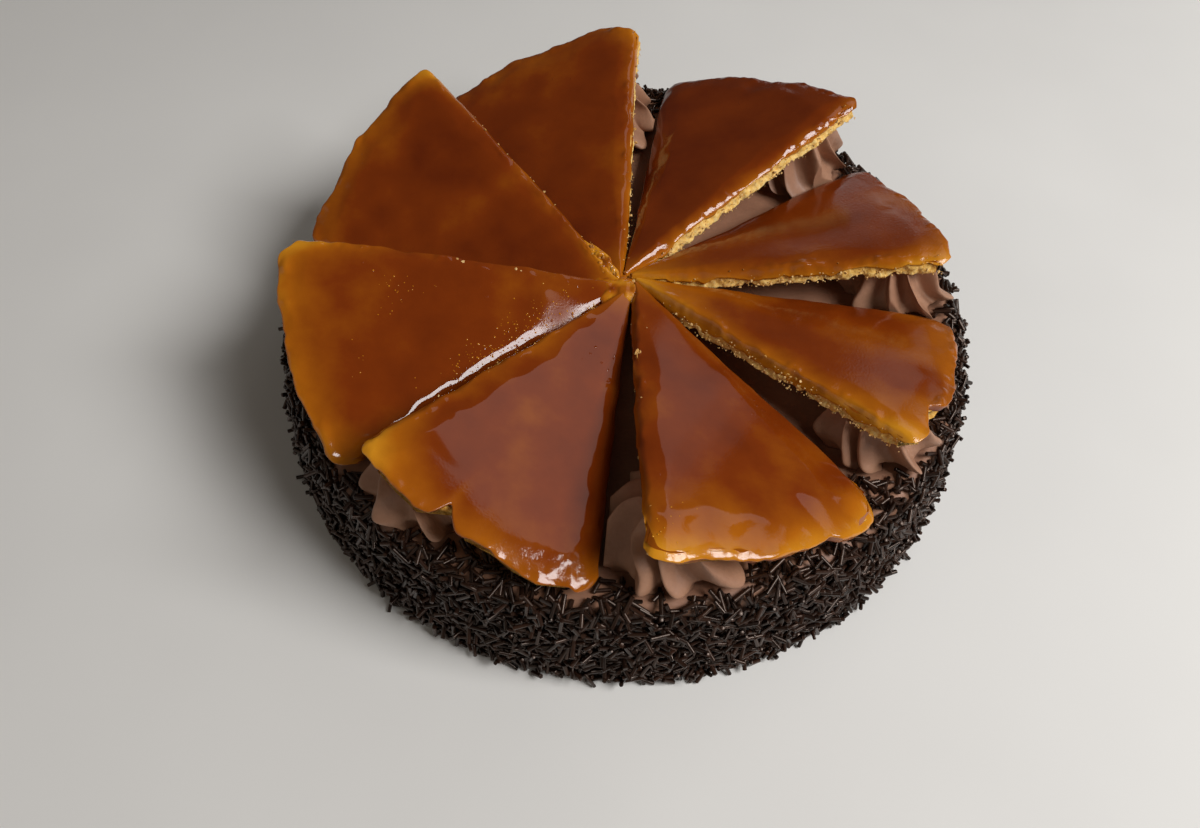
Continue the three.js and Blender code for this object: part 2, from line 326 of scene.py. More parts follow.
def caramel_finish():
    """Glossy amber: the stored amber value, clouded by noise, picks a colour from brown to gold."""
    material, tree, shader = start_material("caramel", IOR=1.5)
    clouded = mix_in(tree, stored_value(tree, "amber"), noise_node(tree, 55.0, 4.0), 0.3)
    clouded = mix_in(tree, clouded, noise_node(tree, 280.0, 2.0), 0.08)
    stops = [
        (0.0, (0.105, 0.013, 0.0018)),
        (0.3, (0.205, 0.033, 0.0025)),
        (0.65, (0.42, 0.116, 0.004)),
        (1.0, (0.66, 0.265, 0.013)),
    ]
    paint(tree, shader, clouded, stops)
    rough = spread(tree, noise_node(tree, 140.0), 0.165, 0.21)
    rough = mix_in(tree, rough, stored_value(tree, "grain"), 0.3)
    tree.links.new(rough, shader.inputs["Roughness"])
    add_bump(tree, shader, grain_height(tree), 1.0, 0.0003)
    return material


def sponge_finish():
    """Dry gold crumb: noise at the size of the pores picks the colour, darker where caramel soaked in."""
    material, tree, shader = start_material("sponge_crumb", Roughness=0.9, Specular_IOR_Level=0.25)
    pores = noise_node(tree, 900.0, 4.0, 0.65)
    crumb = mix_in(tree, pores, stored_value(tree, "soak"), -0.3)
    stops = [
        (0.2, (0.55, 0.24, 0.03)),
        (0.45, (0.83, 0.49, 0.12)),
        (0.7, (0.95, 0.71, 0.29)),
    ]
    paint(tree, shader, crumb, stops)
    add_bump(tree, shader, pores, 0.5, 0.0006)
    return material


def cream_finish(name, dark, light, streaks):
    """Satin buttercream: a slow drift between two browns, with faint streaks in the relief."""
    material, tree, shader = start_material(name, Specular_IOR_Level=0.4)
    drift = mix_in(tree, noise_node(tree, 70.0, 3.0), noise_node(tree, 900.0, 3.0), 0.25)
    paint(tree, shader, drift, [(0.3, dark), (0.7, light)])
    vary_shine(tree, shader, 200.0, 0.42, 0.58)
    add_bump(tree, shader, noise_node(tree, 500.0, 4.0, 0.6, streaks), 0.35, 0.0006)
    return material


def drum_finish():
    """Buttercream on the top, and where the stored coat value is 1 the dark of packed strands, with painted
    shade for the deep gaps between them.
    """
    material = cream_finish("buttercream", (0.25, 0.118, 0.068), (0.36, 0.18, 0.108), (0.4, 1, 1))
    tree = material.node_tree
    shader = tree.nodes["Principled BSDF"]
    cream = shader.inputs["Base Color"].links[0].from_socket
    inputs = {"Factor": stored_value(tree, "coat"), "A": cream, "B": PACKED_STRANDS_AND_GAP_SHADE}
    coated = add_node(tree, "Mix", inputs, data_type="RGBA")
    tree.links.new(coated["Result"], shader.inputs["Base Color"])
    return material


def shaded_material(name, per_metre, stops, **values):
    """A material whose colour follows the shade that each strand or crumb stores, with a little noise."""
    material, tree, shader = start_material(name, **values)
    shade = mix_in(tree, stored_value(tree, "shade"), noise_node(tree, per_metre), 0.3)
    paint(tree, shader, shade, stops)
    return material, tree, shader


def vermicelli_finish():
    """Dark chocolate strands, with a warm satin sheen along their backs."""
    stops = [(0.0, (0.006, 0.0024, 0.0015)), (1.0, (0.034, 0.014, 0.008))]
    sheen = (1.0, 0.8, 0.68, 1.0)
    material, tree, shader = shaded_material("dark_strands", 1500.0, stops, Specular_Tint=sheen)
    vary_shine(tree, shader, 700.0, 0.2, 0.4)
    return material


def crumb_finish():
    """Loose crumbs, some pale and some soaked with caramel."""
    stops = [
        (0.0, (0.36, 0.115, 0.012)),
        (0.5, (0.60, 0.30, 0.06)),
        (1.0, (0.82, 0.56, 0.24)),
    ]
    material, tree, shader = shaded_material("loose_crumb", 1800.0, stops, Roughness=0.6)
    add_bump(tree, shader, noise_node(tree, 2500.0), 0.5, 0.0004)
    return material


CARAMEL = caramel_finish()
SPONGE = sponge_finish()
ROSETTE_CREAM = cream_finish("rosette_cream", (0.30, 0.147, 0.086), (0.42, 0.22, 0.132), (1, 1, 0.35))
DRUM_CREAM = drum_finish()
VERMICELLI = vermicelli_finish()
CRUMB = crumb_finish()
print("food materials:", len(bpy.data.materials))

# %% [markdown]
# ## How the slices lie
#
# Each slice hinges on its low edge, which runs out from the middle of the cake, and tilts up from it.
# So one list of angles and lengths places everything in the crown. The seat of a slice is a small
# frame of its own: x runs along the low edge, the raised edge turns towards minus y, and z = 0 is the
# underside of the sponge. Shapes are made flat in the seat and then turned into place.

# %% Seats of the slices
DRUM_HEIGHT = 40.0
TIP_UNDERSIDE = 44.4
LOW_CORNER_UNDERSIDE = 40.6
SPONGE_THICKNESS = 4.2
CLEARANCE = 0.3
CARAMEL_SEAM = SPONGE_THICKNESS + CLEARANCE
CARAMEL_THICKNESS = 2.0
CARAMEL_FACE = CARAMEL_SEAM + CARAMEL_THICKNESS
SKIRT_DROP = 3.2
SKIRT_THICKNESS = 1.6
LOW_CORNER_ROUND = 7.0
RAISED_CORNER_ROUND = 3.0
EDGE_WAVE = 0.6
EDGE_WAVES = 2.6
NICK_WIDTH = 3.5
EDGE_WANDER = 0.6
WANDER_START = 14.0
WANDER_NOISE = [(1.0, 9.0, 0), (0.5, 3.0, 1)]
SLICES = [{} for _ in range(8)]


def fill_in(**columns):
    """Gives each slice, in turn, its own value from every named column."""
    for word, values in columns.items():
        for cut, value in zip(SLICES, values):
            cut[word] = value


# Angles in degrees, reach and nick depth in millimetres. A nick's place runs from the low corner, 0, to
# the raised corner, 1.
fill_in(
    low=[-137, -92.5, -45.5, -3, 38, 84, 133, 175],
    span=[41.5, 41, 42.5, 37, 39, 43.5, 44, 43],
    tilt=[18.5, 19, 20, 15, 18, 18.5, 17, 21.7],
    reach=[113, 112, 113, 109, 106.5, 111.5, 116, 111.5],
    nick_at=[0.97, 0.6, 0.3, 0.78, 0.5, 0.4, 0.35, 0.5],
    nick_depth=[3, 3, 1.5, 2.5, 0.5, 0.5, 1, 0.5],
)
for cut in SLICES:
    cut["angle"] = math.radians(cut["span"])
    cut["length"] = cut["reach"] * cut["angle"]


def seat_turn(cut):
    """The seat's rotation: tilt about the low edge, droop to the rim, then swing to the azimuth."""
    droop = math.atan((TIP_UNDERSIDE - LOW_CORNER_UNDERSIDE) / cut["reach"])
    swing = Matrix.Rotation(math.radians(cut["low"]), 3, "Z")
    lean = Matrix.Rotation(-math.radians(cut["tilt"]), 3, "X")
    return np.array(swing @ Matrix.Rotation(droop, 3, "Y") @ lean)


def to_cake(cut, points):
    """Points in a slice's seat, turned and lifted to their place on the cake."""
    return points @ seat_turn(cut).T + np.array([0.0, 0.0, TIP_UNDERSIDE])


def to_seat(cut, points):
    """Points on the cake, seen from a slice's seat."""
    return (points - np.array([0.0, 0.0, TIP_UNDERSIDE])) @ seat_turn(cut)


def in_seat(radius, turn, height):
    """Polar form in a seat: the turn runs from the low edge, 0, towards the raised edge."""
    return np.stack(np.broadcast_arrays(radius * np.cos(turn), -radius * np.sin(turn), height), axis=-1)


def edge_radius(cut, t):
    """Outer edge at t from 0 to 1: reach plus a slow wave, less a nick and the two rounded corners."""
    length = cut["length"]
    wave = EDGE_WAVE * np.sin(2 * np.pi * EDGE_WAVES * t + cut["low"])
    nick = cut["nick_depth"] * bell((t - cut["nick_at"]) * length, NICK_WIDTH)
    near_low = np.clip(1 - t * length / LOW_CORNER_ROUND, 0, None)
    near_raised = np.clip(1 - (1 - t) * length / RAISED_CORNER_ROUND, 0, None)
    corners = LOW_CORNER_ROUND * near_low**2 + RAISED_CORNER_ROUND * near_raised**2
    return cut["reach"] + wave - nick - corners


def edge_wander(cut, radius, side):
    """How far a cut long edge strays outwards: noise along it, calm near the tip, and a bow if raised."""
    stray = noise_sum(WANDER_NOISE, cut["low"] + 50.0 * side, radius)
    bow = side * cut["bow"] * np.sin(np.pi * np.clip(radius / cut["reach"], 0, 1))
    return EDGE_WANDER * stray * radius / (radius + WANDER_START) + bow


def strayed(cut, turn, radius, over):
    """The turn moved by the wander of both long edges, each less the farther from its edge."""
    turn = turn - edge_wander(cut, radius, 0) / radius * (1 - over) ** 2
    return turn + edge_wander(cut, radius, 1) / radius * over**2


corners = [to_cake(cut, np.array([cut["reach"], 0.0, 0.0])).round(1).tolist() for cut in SLICES]
print("slices:", len(SLICES), "low corners:", corners)

# %% [markdown]
# ## The caramel
#
# While still warm the caramel is marked with a greased knife, so each slice has a flat middle that falls
# away towards its edges, rounded lips along the cuts, and a skirt where the caramel ran over the rim.
# A subdivided box could be sculpted to this, but a formula gives the same form to all eight slices. Two
# lines are crossed: one over the slice from lip to lip, and one from the tip out over the edge and down.
# What differs from slice to slice, such as its tone, its chips and how far the caramel ran down the cut
# face, stands in one table.

# %% How each slice turned out
# Tone lightens or darkens the caramel, gold and lined are the strengths of its pale bands at the outer and
# the raised edge, ripple scales its waves, and roll is the drop of its low edge. Lip is the width of the
# rounded raised edge, cover the share of that cut face that caramel ran over, and undercut how far the
# sponge lies back there. Skirt scales the drop of the caramel over the outer edge. Haze dulls the shine,
# shoulder widens the slope at the raised edge, brow widens and steepens the one at the outer edge, and
# dimple is the depth of the dents at the low corner. Soak is how far the sponge is coloured, and bow how
# far the raised edge curves outwards. A chip in the outer edge has a place, a depth and a width.
fill_in(
    tone=[0.02, 0.06, 0.07, 0.06, 0.0, -0.1, 0.0, 0.0],
    gold=[0.9, 0.5, 0.95, 0.5, 0.3, 0.1, 0.35, 0.5],
    lined=[0.5, 0.9, 0.0, 1.5, 1.0, 1.1, 0.6, 0.8],
    ripple=[1.0, 0.5, 0.3, 1.1, 0.9, 0.9, 1.0, 1.0],
    roll=[1.85, 0.5, 0.6, 0.5, 0.6, 0.8, 0.6, 0.6],
    lip=[1.2, 1.6, 1.6, 1.4, 1.8, 3.2, 1.8, 1.6],
    cover=[0.4, 0.5, 0.3, 0.45, 0.3, 0.25, 0.45, 0.3],
    undercut=[0.5, 0.5, 2.0, -0.7, -0.3, -0.8, -0.3, 0.0],
    skirt=[0.4, 0.3, 0.9, 0.4, 0.4, 0.5, 0.5, 0.5],
    haze=[0.0, 0.0, 0.05, 0.2, 0.25, 0.08, 0.0, 0.0],
    shoulder=[0.8, 1.5, 1.0, 1.0, 1.0, 1.0, 1.0, 1.0],
    brow=[1.0, 0.75, 1.8, 1.0, 1.0, 1.0, 1.0, 1.0],
    dimple=[0.06, 0.16, 0.04, 0.08, 0.08, 0.06, 0.06, 0.06],
    soak=[1.0, 1.2, 1.2, 0.8, 1.0, 0.7, 0.8, 1.0],
    bow=[2.0, 0.2, 0.8, 0.0, 0.8, -0.8, 0.0, 0.8],
    chips=[
        [(0.93, -1.6, 4.0), (0.45, 0.8, 6.0)],
        [(0.62, 3.2, 1.7), (0.42, 1.8, 7.0), (0.22, -1.6, 5.0)],
        [(0.9, -1.4, 5.0)],
        [(0.75, 1.6, 1.6), (0.55, -1.8, 8.0), (0.9, -2.0, 4.0)],
        [(0.6, 0.8, 3.0)],
        [(0.2, 1.0, 3.0), (0.98, -1.6, 4.0)],
        [(0.85, -1.5, 6.0)],
        [(0.8, -1.0, 6.0), (0.3, 0.8, 4.0)],
    ],
)
RAGGED = 0.4
RAGGED_NOISE = [(1.0, 6.0, 15), (1.0, 2.2, 16)]
# The first slice also has a blister near its low edge, where sugar began to set: a radius, a distance from
# the edge, a height and a width. The last slice has a crust on its raised edge near the tip: a radius, a
# length, a width and a height.
BLISTER = (29.0, 10.0, 1.0, 3.2)
CRUST = (13.0, 8.0, 2.4, 0.9)
SLICES[0]["blister"] = BLISTER[2]
SLICES[-1]["crust"] = CRUST[3]


def whole_edge(cut, t):
    """The outer edge before nicks and chips broke it: reach and slow wave, less the two rounded corners."""
    return edge_radius({**cut, "nick_depth": 0.0}, t)


def poured_edge(cut, t):
    """The outer edge with its chips and a ragged line: smooth bites at the chips plus two sizes of noise."""
    along = t * cut["length"]
    bites = [depth * bell((t - place) * cut["length"], width) for place, depth, width in cut["chips"]]
    return edge_radius(cut, t) - sum(bites) + RAGGED * noise_sum(RAGGED_NOISE, cut["low"], along)


print("chips:", sum(len(cut["chips"]) for cut in SLICES))

# %% Lines of the caramel
LOW_LIP = 0.9
TIP_LIP = 0.8
OUTER_LIP = 0.9
TIP_RADIUS = 2.0
LIP_STEPS = 8
ACROSS_STEPS = 130
ALONG_STEPS = 170
SKIRT_STEPS = 7


def lip_line(flat_steps):
    """A line up round one lip, over a flat and down round the other lip.

    Gives, at each step, the share done of the first lip, of the flat and of the last lip, and the share
    of the full height: each lip is a quarter circle.
    """
    rise = np.linspace(0, np.pi / 2, LIP_STEPS + 1)[:-1]
    flat = np.linspace(0, 1, flat_steps + 1)
    ones, zeros = np.ones(LIP_STEPS), np.zeros(LIP_STEPS)
    near = np.concatenate([1 - np.cos(rise), np.ones_like(flat), ones])
    over = np.concatenate([zeros, flat, ones])
    far = np.concatenate([zeros, np.zeros_like(flat), np.cos(rise)[::-1]])
    height = np.concatenate([np.sin(rise), np.ones_like(flat), np.sin(rise)[::-1]])
    return near, over, far, height


def skirt_line():
    """From the tip over the flat, round the outer lip and straight down the skirt."""
    near, over, far, height = lip_line(ALONG_STEPS)
    lip_share = OUTER_LIP / (CARAMEL_THICKNESS + SKIRT_DROP)
    height[-LIP_STEPS:] = 1 - lip_share * (1 - height[-LIP_STEPS:])
    wall = np.linspace(1 - lip_share, 0, SKIRT_STEPS + 1)[1:]
    rows = [np.concatenate([row, np.ones(SKIRT_STEPS)]) for row in (near, over, far)]
    return *rows, np.concatenate([height, wall])


print("points in a slice of caramel:", len(lip_line(ACROSS_STEPS)[0]) * len(skirt_line()[0]))

# %% Form and amber of the caramel
CROWN = 0.6
CREASE = 0.1
LOW_FALL = (8.0, 0.85)
RAISED_FALL = (6.0, 1.15)
OUTER_FALL = (10.0, 1.3)
FULL_FALL_RADIUS = 45.0
LEAST_FALL = 0.15
ROLL_WIDTH = (2.8, 2.4)
EDGE_ROLL = (4.0, 0.5)
RIM_RIPPLE = 0.07
RIPPLE_WIDTH = 13.0
STREAK_SIZE = 3.4
STREAK_STRETCH = 0.3
DIMPLED_CORNER = (12.0, 14.0)
LUMP = 0.9
LUMP_BAND = (1.2, 1.8)
SKIRT_UNEVEN = 0.55
SKIRT_SHADE = 0.45
SKIRT_GRAIN = 0.8
RIM_FROST = 0.3
SKIRT_TUCK = 1.2
DRAPE_GOLD = 0.3
DRAPE_GRAIN = 0.5
RIM_START = 0.965
WIDEST_LIP = 0.3
DRIP_UNEVEN = 0.35
FROST_WIDTH = 9.0
BASE_AMBER = 0.24
# How far the gold of an edge reaches in, and how strong it is. The raised corner has two reaches: from the
# rim and from the raised edge.
OUTER_GOLD = (8.5, 0.52)
RAISED_GOLD = (4.5, 0.3)
LOW_GOLD = (2.0, 0.06)
TIP_GOLD = (12.0, 0.25)
CORNER_GOLD = (11.0, 9.0, 0.45)
SANDY_GRAIN = 1.8
BUBBLES = (0.12, 0.9)
CRUST_GOLD = 0.6
# The middle and the half width of a patch, along the low edge and away from it.
SANDY_PATCH = (27.0, 6.5, 5.0, 4.0)
BUBBLE_BAND = (45.0, 22.0, 7.0, 5.0)
# Noises: a weight, a size in millimetres and a step of the seed.
WOBBLE = [(0.25, 15.0, 0)]
DENTS = [(0.2, 5.0, 1)]
WAVES = [(0.10, 22.0, 2), (0.02, 7.0, 3)]
LUMPS = [(1.0, 5.5, 4), (0.5, 2.2, 8)]
DENTED_EDGE = [(1.2, 6.0, 6), (0.5, 2.5, 7)]
UNEVEN_ROLL = [(0.2, 4.0, 9)]
DIMPLES = [(1.0, 1.7, 10)]
GOLD_REACH = [(0.5, 24.0, 5), (0.25, 8.0, 8)]
LINED_REACH = [(0.4, 17.0, 7)]
CLOUDS = [(0.12, 19.0, 6), (0.08, 8.0, 9)]
UNEVEN_LIP = [(0.5, 7.0, 21), (0.3, 2.6, 22)]
UNEVEN_SKIRT = [(1.0, 11.0, 8), (0.5, 4.0, 9)]
DRIPS = [(1.0, 7.0, 9), (0.6, 2.2, 0)]


def fall_off(distance, fall, scale):
    """A straight slope down to an edge: it starts at a soft crease and reaches the full drop at the edge."""
    width, drop = fall
    run = (width * scale - distance) / (width * scale)
    return drop * scale * 0.5 * (run + np.sqrt(run**2 + CREASE**2))


def blister_share(x, from_low):
    """A round swelling: 1 at the blister's middle, falling off as a bell curve."""
    radius, inwards, _, width = BLISTER
    return np.exp(-((x - radius) ** 2 + (from_low - inwards) ** 2) / (2 * width**2))


def patch_share(x, from_low, patch):
    """1 in the middle of a patch beside the low edge, falling off both ways as bell curves."""
    along, along_width, away, away_width = patch
    return bell(x - along, along_width) * bell(from_low - away, away_width)


def crust_share(cut, x, y, from_raised):
    """1 on the raised edge at the crust's radius, falling off along the edge and inwards as bell curves."""
    radius, length, width, _ = CRUST
    return ("crust" in cut) * bell(np.hypot(x, y) - radius, length) * bell(from_raised, width)


def grain_value(cut, x, from_low):
    """The slice's haze, and strong grain where sugar set on the blister's flank."""
    return cut["haze"] + SANDY_GRAIN * patch_share(x, from_low, SANDY_PATCH) * ("blister" in cut)


def bubble_value(cut, x, from_low):
    """A little everywhere, and a band full of bubbles along the low edge of the slice with the blister."""
    return BUBBLES[0] + BUBBLES[1] * patch_share(x, from_low, BUBBLE_BAND) * ("blister" in cut)


def caramel_top(cut, x, y, from_low, from_raised, from_rim):
    """Height of the caramel's face: a flat middle, slopes and rolls to the edges, waves, streaks and lumps.

    The streaks run along the rim, because they vary quickly with the distance from it and slowly along it.
    """
    seed, ripple = cut["low"], cut["ripple"]
    from_tip = np.hypot(x, y)
    edge = np.minimum(from_raised, from_rim)
    near_tip = np.clip(from_tip / FULL_FALL_RADIUS, LEAST_FALL, 1)
    dents = noise_sum(DENTS, seed, x, y) * min(1.0, 2 * ripple)
    wobble = near_tip * (1 + noise_sum(WOBBLE, seed, x, y) + dents)
    fall = fall_off(from_low, LOW_FALL, wobble)
    fall = fall + fall_off(from_raised, RAISED_FALL, wobble * cut["shoulder"])
    fall = fall + cut["brow"] * fall_off(from_rim, OUTER_FALL, wobble * math.sqrt(cut["brow"]))
    low_width = ROLL_WIDTH[0] + ROLL_WIDTH[1] * cut["roll"] * (1 + noise_sum(UNEVEN_ROLL, seed, x, y))
    roll = cut["roll"] * np.clip(1 - from_low / low_width, 0, 1) ** 2
    edge_roll = EDGE_ROLL[1] * (1 + noise_sum(DENTED_EDGE, seed, x, y))
    roll = np.maximum(roll, edge_roll * np.clip(1 - edge / EDGE_ROLL[0], 0, 1) ** 2)
    arc = from_tip * np.arctan2(-y, x)
    streaks = soft_noise(STREAK_SIZE, seed + 5, from_rim, STREAK_STRETCH * arc)
    streaks = streaks * bell(from_rim, RIPPLE_WIDTH)
    low_corner = bell(from_rim, DIMPLED_CORNER[0]) * bell(from_low, DIMPLED_CORNER[1])
    dimples = cut["dimple"] * low_corner * noise_sum(DIMPLES, seed, x, y)
    lumps = np.clip(noise_sum(LUMPS, seed, x, y), 0, None)
    lumps = LUMP * lumps * bell(edge - LUMP_BAND[0], LUMP_BAND[1]) * near_tip * np.clip(ripple**2, 0.5, 1)
    crust = cut.get("crust", 0.0) * crust_share(cut, x, y, from_raised) * np.abs(soft_noise(1.5, 71, x, y))
    level = CARAMEL_FACE + CROWN + cut.get("blister", 0.0) * blister_share(x, from_low)
    waves = ripple * (noise_sum(WAVES, seed, x, y) + RIM_RIPPLE * streaks)
    return level - fall - near_tip * roll + waves + dimples + lumps + 2 * crust


def amber_value(cut, x, y, from_low, from_raised, from_rim):
    """Gold at the thin edges, 1, and brown in the thick middle, 0: falls off with distance, plus clouds."""
    seed = cut["low"]
    from_low, from_raised, from_rim = (np.clip(d, 0, None) for d in (from_low, from_raised, from_rim))
    outer_reach = OUTER_GOLD[0] * (1 + noise_sum(GOLD_REACH, seed, x, y))
    raised_reach = RAISED_GOLD[0] * (1 + noise_sum(LINED_REACH, seed, x, y))
    corner = bell(from_rim, CORNER_GOLD[0]) * np.exp(-from_raised / CORNER_GOLD[1])
    edges = OUTER_GOLD[1] * cut["gold"] * np.exp(-((from_rim / outer_reach) ** 1.5))
    edges = edges + RAISED_GOLD[1] * cut["lined"] * np.exp(-from_raised / raised_reach)
    edges = edges + CORNER_GOLD[2] * min(1.0, 2 * cut["gold"]) * corner
    edges = edges + LOW_GOLD[1] * np.exp(-from_low / LOW_GOLD[0])
    edges = edges + TIP_GOLD[1] * bell(np.hypot(x, y), TIP_GOLD[0])
    return BASE_AMBER + cut["tone"] + edges + noise_sum(CLOUDS, seed, x, y)


def caramel_grid(cut):
    """The skirt line and the lip line crossed: a point of the slice for each pair of steps.

    The lip line sets the angle from the low edge, where a lip of fixed width is a wider angle near the
    tip. The skirt line sets the radius. Heights run from the underside to the face by both shares.
    """
    span, seed = cut["angle"], cut["low"]
    near, over, far, rise = (row[None, :] for row in lip_line(ACROSS_STEPS))
    tip, along, rim, climb = (row[:, None] for row in skirt_line())

    def turn_between(low_lip, raised_lip):
        """The angle from the low edge at each step, where the widths of the lips are angles too."""
        return low_lip * near + (span - low_lip - raised_lip) * over + raised_lip * far

    t = turn_between(LOW_LIP / cut["reach"], cut["lip"] / cut["reach"]) / span
    edge = poured_edge(cut, t)
    radius = TIP_RADIUS + TIP_LIP * tip + OUTER_LIP * rim
    radius = radius + (edge - OUTER_LIP - TIP_RADIUS - TIP_LIP) * along
    lips = (LOW_LIP, cut["lip"] * (1 + noise_sum(UNEVEN_LIP, seed, radius)))
    turn = turn_between(*(np.minimum(lip, WIDEST_LIP * radius * span) / radius for lip in lips))
    from_low, from_raised = radius * np.sin(turn), radius * np.sin(span - turn)
    from_rim = edge - radius
    turn = strayed(cut, turn, radius, over)
    over_rim = smooth_step(RIM_START, 1.0, along)
    walked = t * cut["length"]
    below = (1 - climb) * over_rim
    tuck = (SKIRT_TUCK + 0.5 * soft_noise(4.0, seed + 17, walked, 3.0 * climb)) * below
    x, y = (radius - tuck) * np.cos(turn), -(radius - tuck) * np.sin(turn)
    top = caramel_top(cut, x, y, from_low, from_raised, whole_edge(cut, t) - radius)
    skirt = SKIRT_DROP * cut["skirt"] * (1 + SKIRT_UNEVEN * noise_sum(UNEVEN_SKIRT, seed, walked))
    drip = noise_sum(DRIPS, seed, radius, 40.0 * over)
    drip = SPONGE_THICKNESS * np.clip(cut["cover"] + DRIP_UNEVEN * drip, 0, 0.95)
    bottom = CARAMEL_SEAM - skirt * over_rim - drip * (1 - over_rim)
    z = bottom + (top - bottom) * rise * climb
    drape = far * (1 - rise) * (1 - over_rim)
    crust = crust_share(cut, x, y, from_raised)
    streaked = SKIRT_SHADE - 0.25 * soft_noise(2.5, seed + 18, walked, 5.0 * climb)
    amber = amber_value(cut, x, y, from_low, from_raised, from_rim) - streaked * below
    amber = amber + DRAPE_GOLD * drape + CRUST_GOLD * crust
    frost = RIM_FROST * bell(np.clip(from_rim, 0, None), FROST_WIDTH)
    grain = grain_value(cut, x, from_low) + frost + SKIRT_GRAIN * below
    grain = grain + DRAPE_GRAIN * drape + CRUST_GOLD * crust
    return np.stack([x, y, z], axis=-1), amber, grain, bubble_value(cut, x, from_low)


# %% [markdown]
# The grid is open below, so its border is carried inwards as a strip, up to the sponge and to one point
# in the middle. That gives a closed body, which the sponge then hides from below.

# %% Make the caramel


def strip_quads(first, second):
    """Quads between two closed loops of point numbers of the same length."""
    return np.stack([first, np.roll(first, -1), np.roll(second, -1), second], axis=-1)


def border_loop(rows, columns):
    """Numbers of the points round the border of a grid that is stored row by row."""
    numbers = np.arange(rows * columns).reshape(rows, columns)
    sides = [numbers[0, :-1], numbers[:-1, -1], numbers[-1, :0:-1], numbers[:0:-1, 0]]
    return np.concatenate(sides)


def make_caramel(number, cut):
    """The crossed lines, closed below by a strip as thick as the skirt and a flat underside."""
    grid, amber, grain, bubbles = caramel_grid(cut)
    rows, columns = amber.shape
    loop = border_loop(rows, columns)
    border = grid.reshape(-1, 3)[loop]
    middle = border.mean(axis=0)
    inward = middle - border
    inward[:, 2] = 0
    inward = inward / np.linalg.norm(inward, axis=1, keepdims=True)
    foot = border + 0.8 * SKIRT_THICKNESS * inward
    ceiling = foot.copy()
    ceiling[:, 2] = CARAMEL_SEAM
    middle[2] = CARAMEL_SEAM
    points = np.concatenate([grid.reshape(-1, 3), foot, ceiling, middle[None]])
    first = rows * columns
    foot_loop = first + np.arange(len(loop))
    ceiling_loop = foot_loop + len(loop)
    faces = [
        grid_quads(rows, columns),
        strip_quads(loop, foot_loop),
        strip_quads(foot_loop, ceiling_loop),
        fan_triangles(ceiling_loop, len(points) - 1),
    ]
    below = np.ones(2 * len(loop) + 1)
    stored = {
        "amber": np.concatenate([amber.ravel(), 0.5 * below]),
        "grain": np.concatenate([grain.ravel(), 0.0 * below]),
        "bubbles": np.concatenate([bubbles.ravel(), 0.0 * below]),
    }
    piece = put_piece(f"caramel_glaze_{number}", to_cake(cut, points), faces, CARAMEL, stored)
    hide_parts(f"caramel_{number}")
    return piece


glazes = [make_caramel(number, cut) for number, cut in enumerate(SLICES, 1)]
print("caramel:", len(glazes), "pieces of", len(glazes[0].data.polygons), "faces")

# %% [markdown]
# Near the middle the warm tips ran together on the near side. A small uneven pool of caramel bridges them:
# a disc in polar form, whose height falls from its middle to its rim like a drop on a table.

# %% Make the bridge between the tips
BRIDGE_CENTRE = (-2.5, -4.0)
BRIDGE_RADIUS = 8.5
BRIDGE_TOP = 52.1
BRIDGE_FALL = 2.0
BRIDGE_FOOT = 48.6
BRIDGE_TURNS = 120
BRIDGE_RINGS = 40
# The sizes of the rim's noise are shares of its radius.
BRIDGE_RIM = [(0.4, 1 / 2, 61), (0.12, 1 / 6, 66)]
BRIDGE_WAVES = [(0.5, 4.0, 62), (0.4, 1.5, 63)]


def make_bridge():
    """Radius uneven by noise round the turn, height by a quarter ellipse, with a rim and a flat below."""
    cosine, sine = np.cos(full_turn(BRIDGE_TURNS)), np.sin(full_turn(BRIDGE_TURNS))
    share = np.linspace(0.02, 1, BRIDGE_RINGS)[:, None]
    radius = BRIDGE_RADIUS * (1 + noise_sum(BRIDGE_RIM, 0, cosine, sine)) * share
    x, y = BRIDGE_CENTRE[0] + radius * cosine, BRIDGE_CENTRE[1] + radius * sine
    z = BRIDGE_TOP - BRIDGE_FALL * (1 - np.sqrt(1 - 0.98 * share**2)) + noise_sum(BRIDGE_WAVES, 0, x, y)
    top = np.stack([x, y, z], axis=-1)
    foot = top[-1:].copy()
    foot[..., 2] = BRIDGE_FOOT
    points, faces = closed_rings(np.concatenate([top, foot]))
    shade = 0.65 + 0.45 * soft_noise(3.0, 64, *points.T[:2])
    grain = 0.5 * smooth_step(0.1, 0.5, soft_noise(3.0, 65, *points.T[:2]))
    stored = {"amber": shade, "grain": grain, "bubbles": grain}
    return put_piece("caramel_bridge", points, faces, CARAMEL, stored)


bridge = make_bridge()
print("bridge:", len(bridge.data.polygons), "faces")

# %% [markdown]
# On the last slice sugar has set to a golden crust along the end of the raised edge. It is a tube with a
# flattened section laid along that edge, thin at both ends and lumpy all over.

# %% Make the crust
CRUST_ENDS = (3.5, 22.0)
CRUST_HALF = 2.6
CRUST_RISE = 1.4
CRUST_ROWS = 110
CRUST_SIDES = 40
CRUST_LUMPS = [(0.9, 2.2, 74), (0.6, 1.0, 75)]


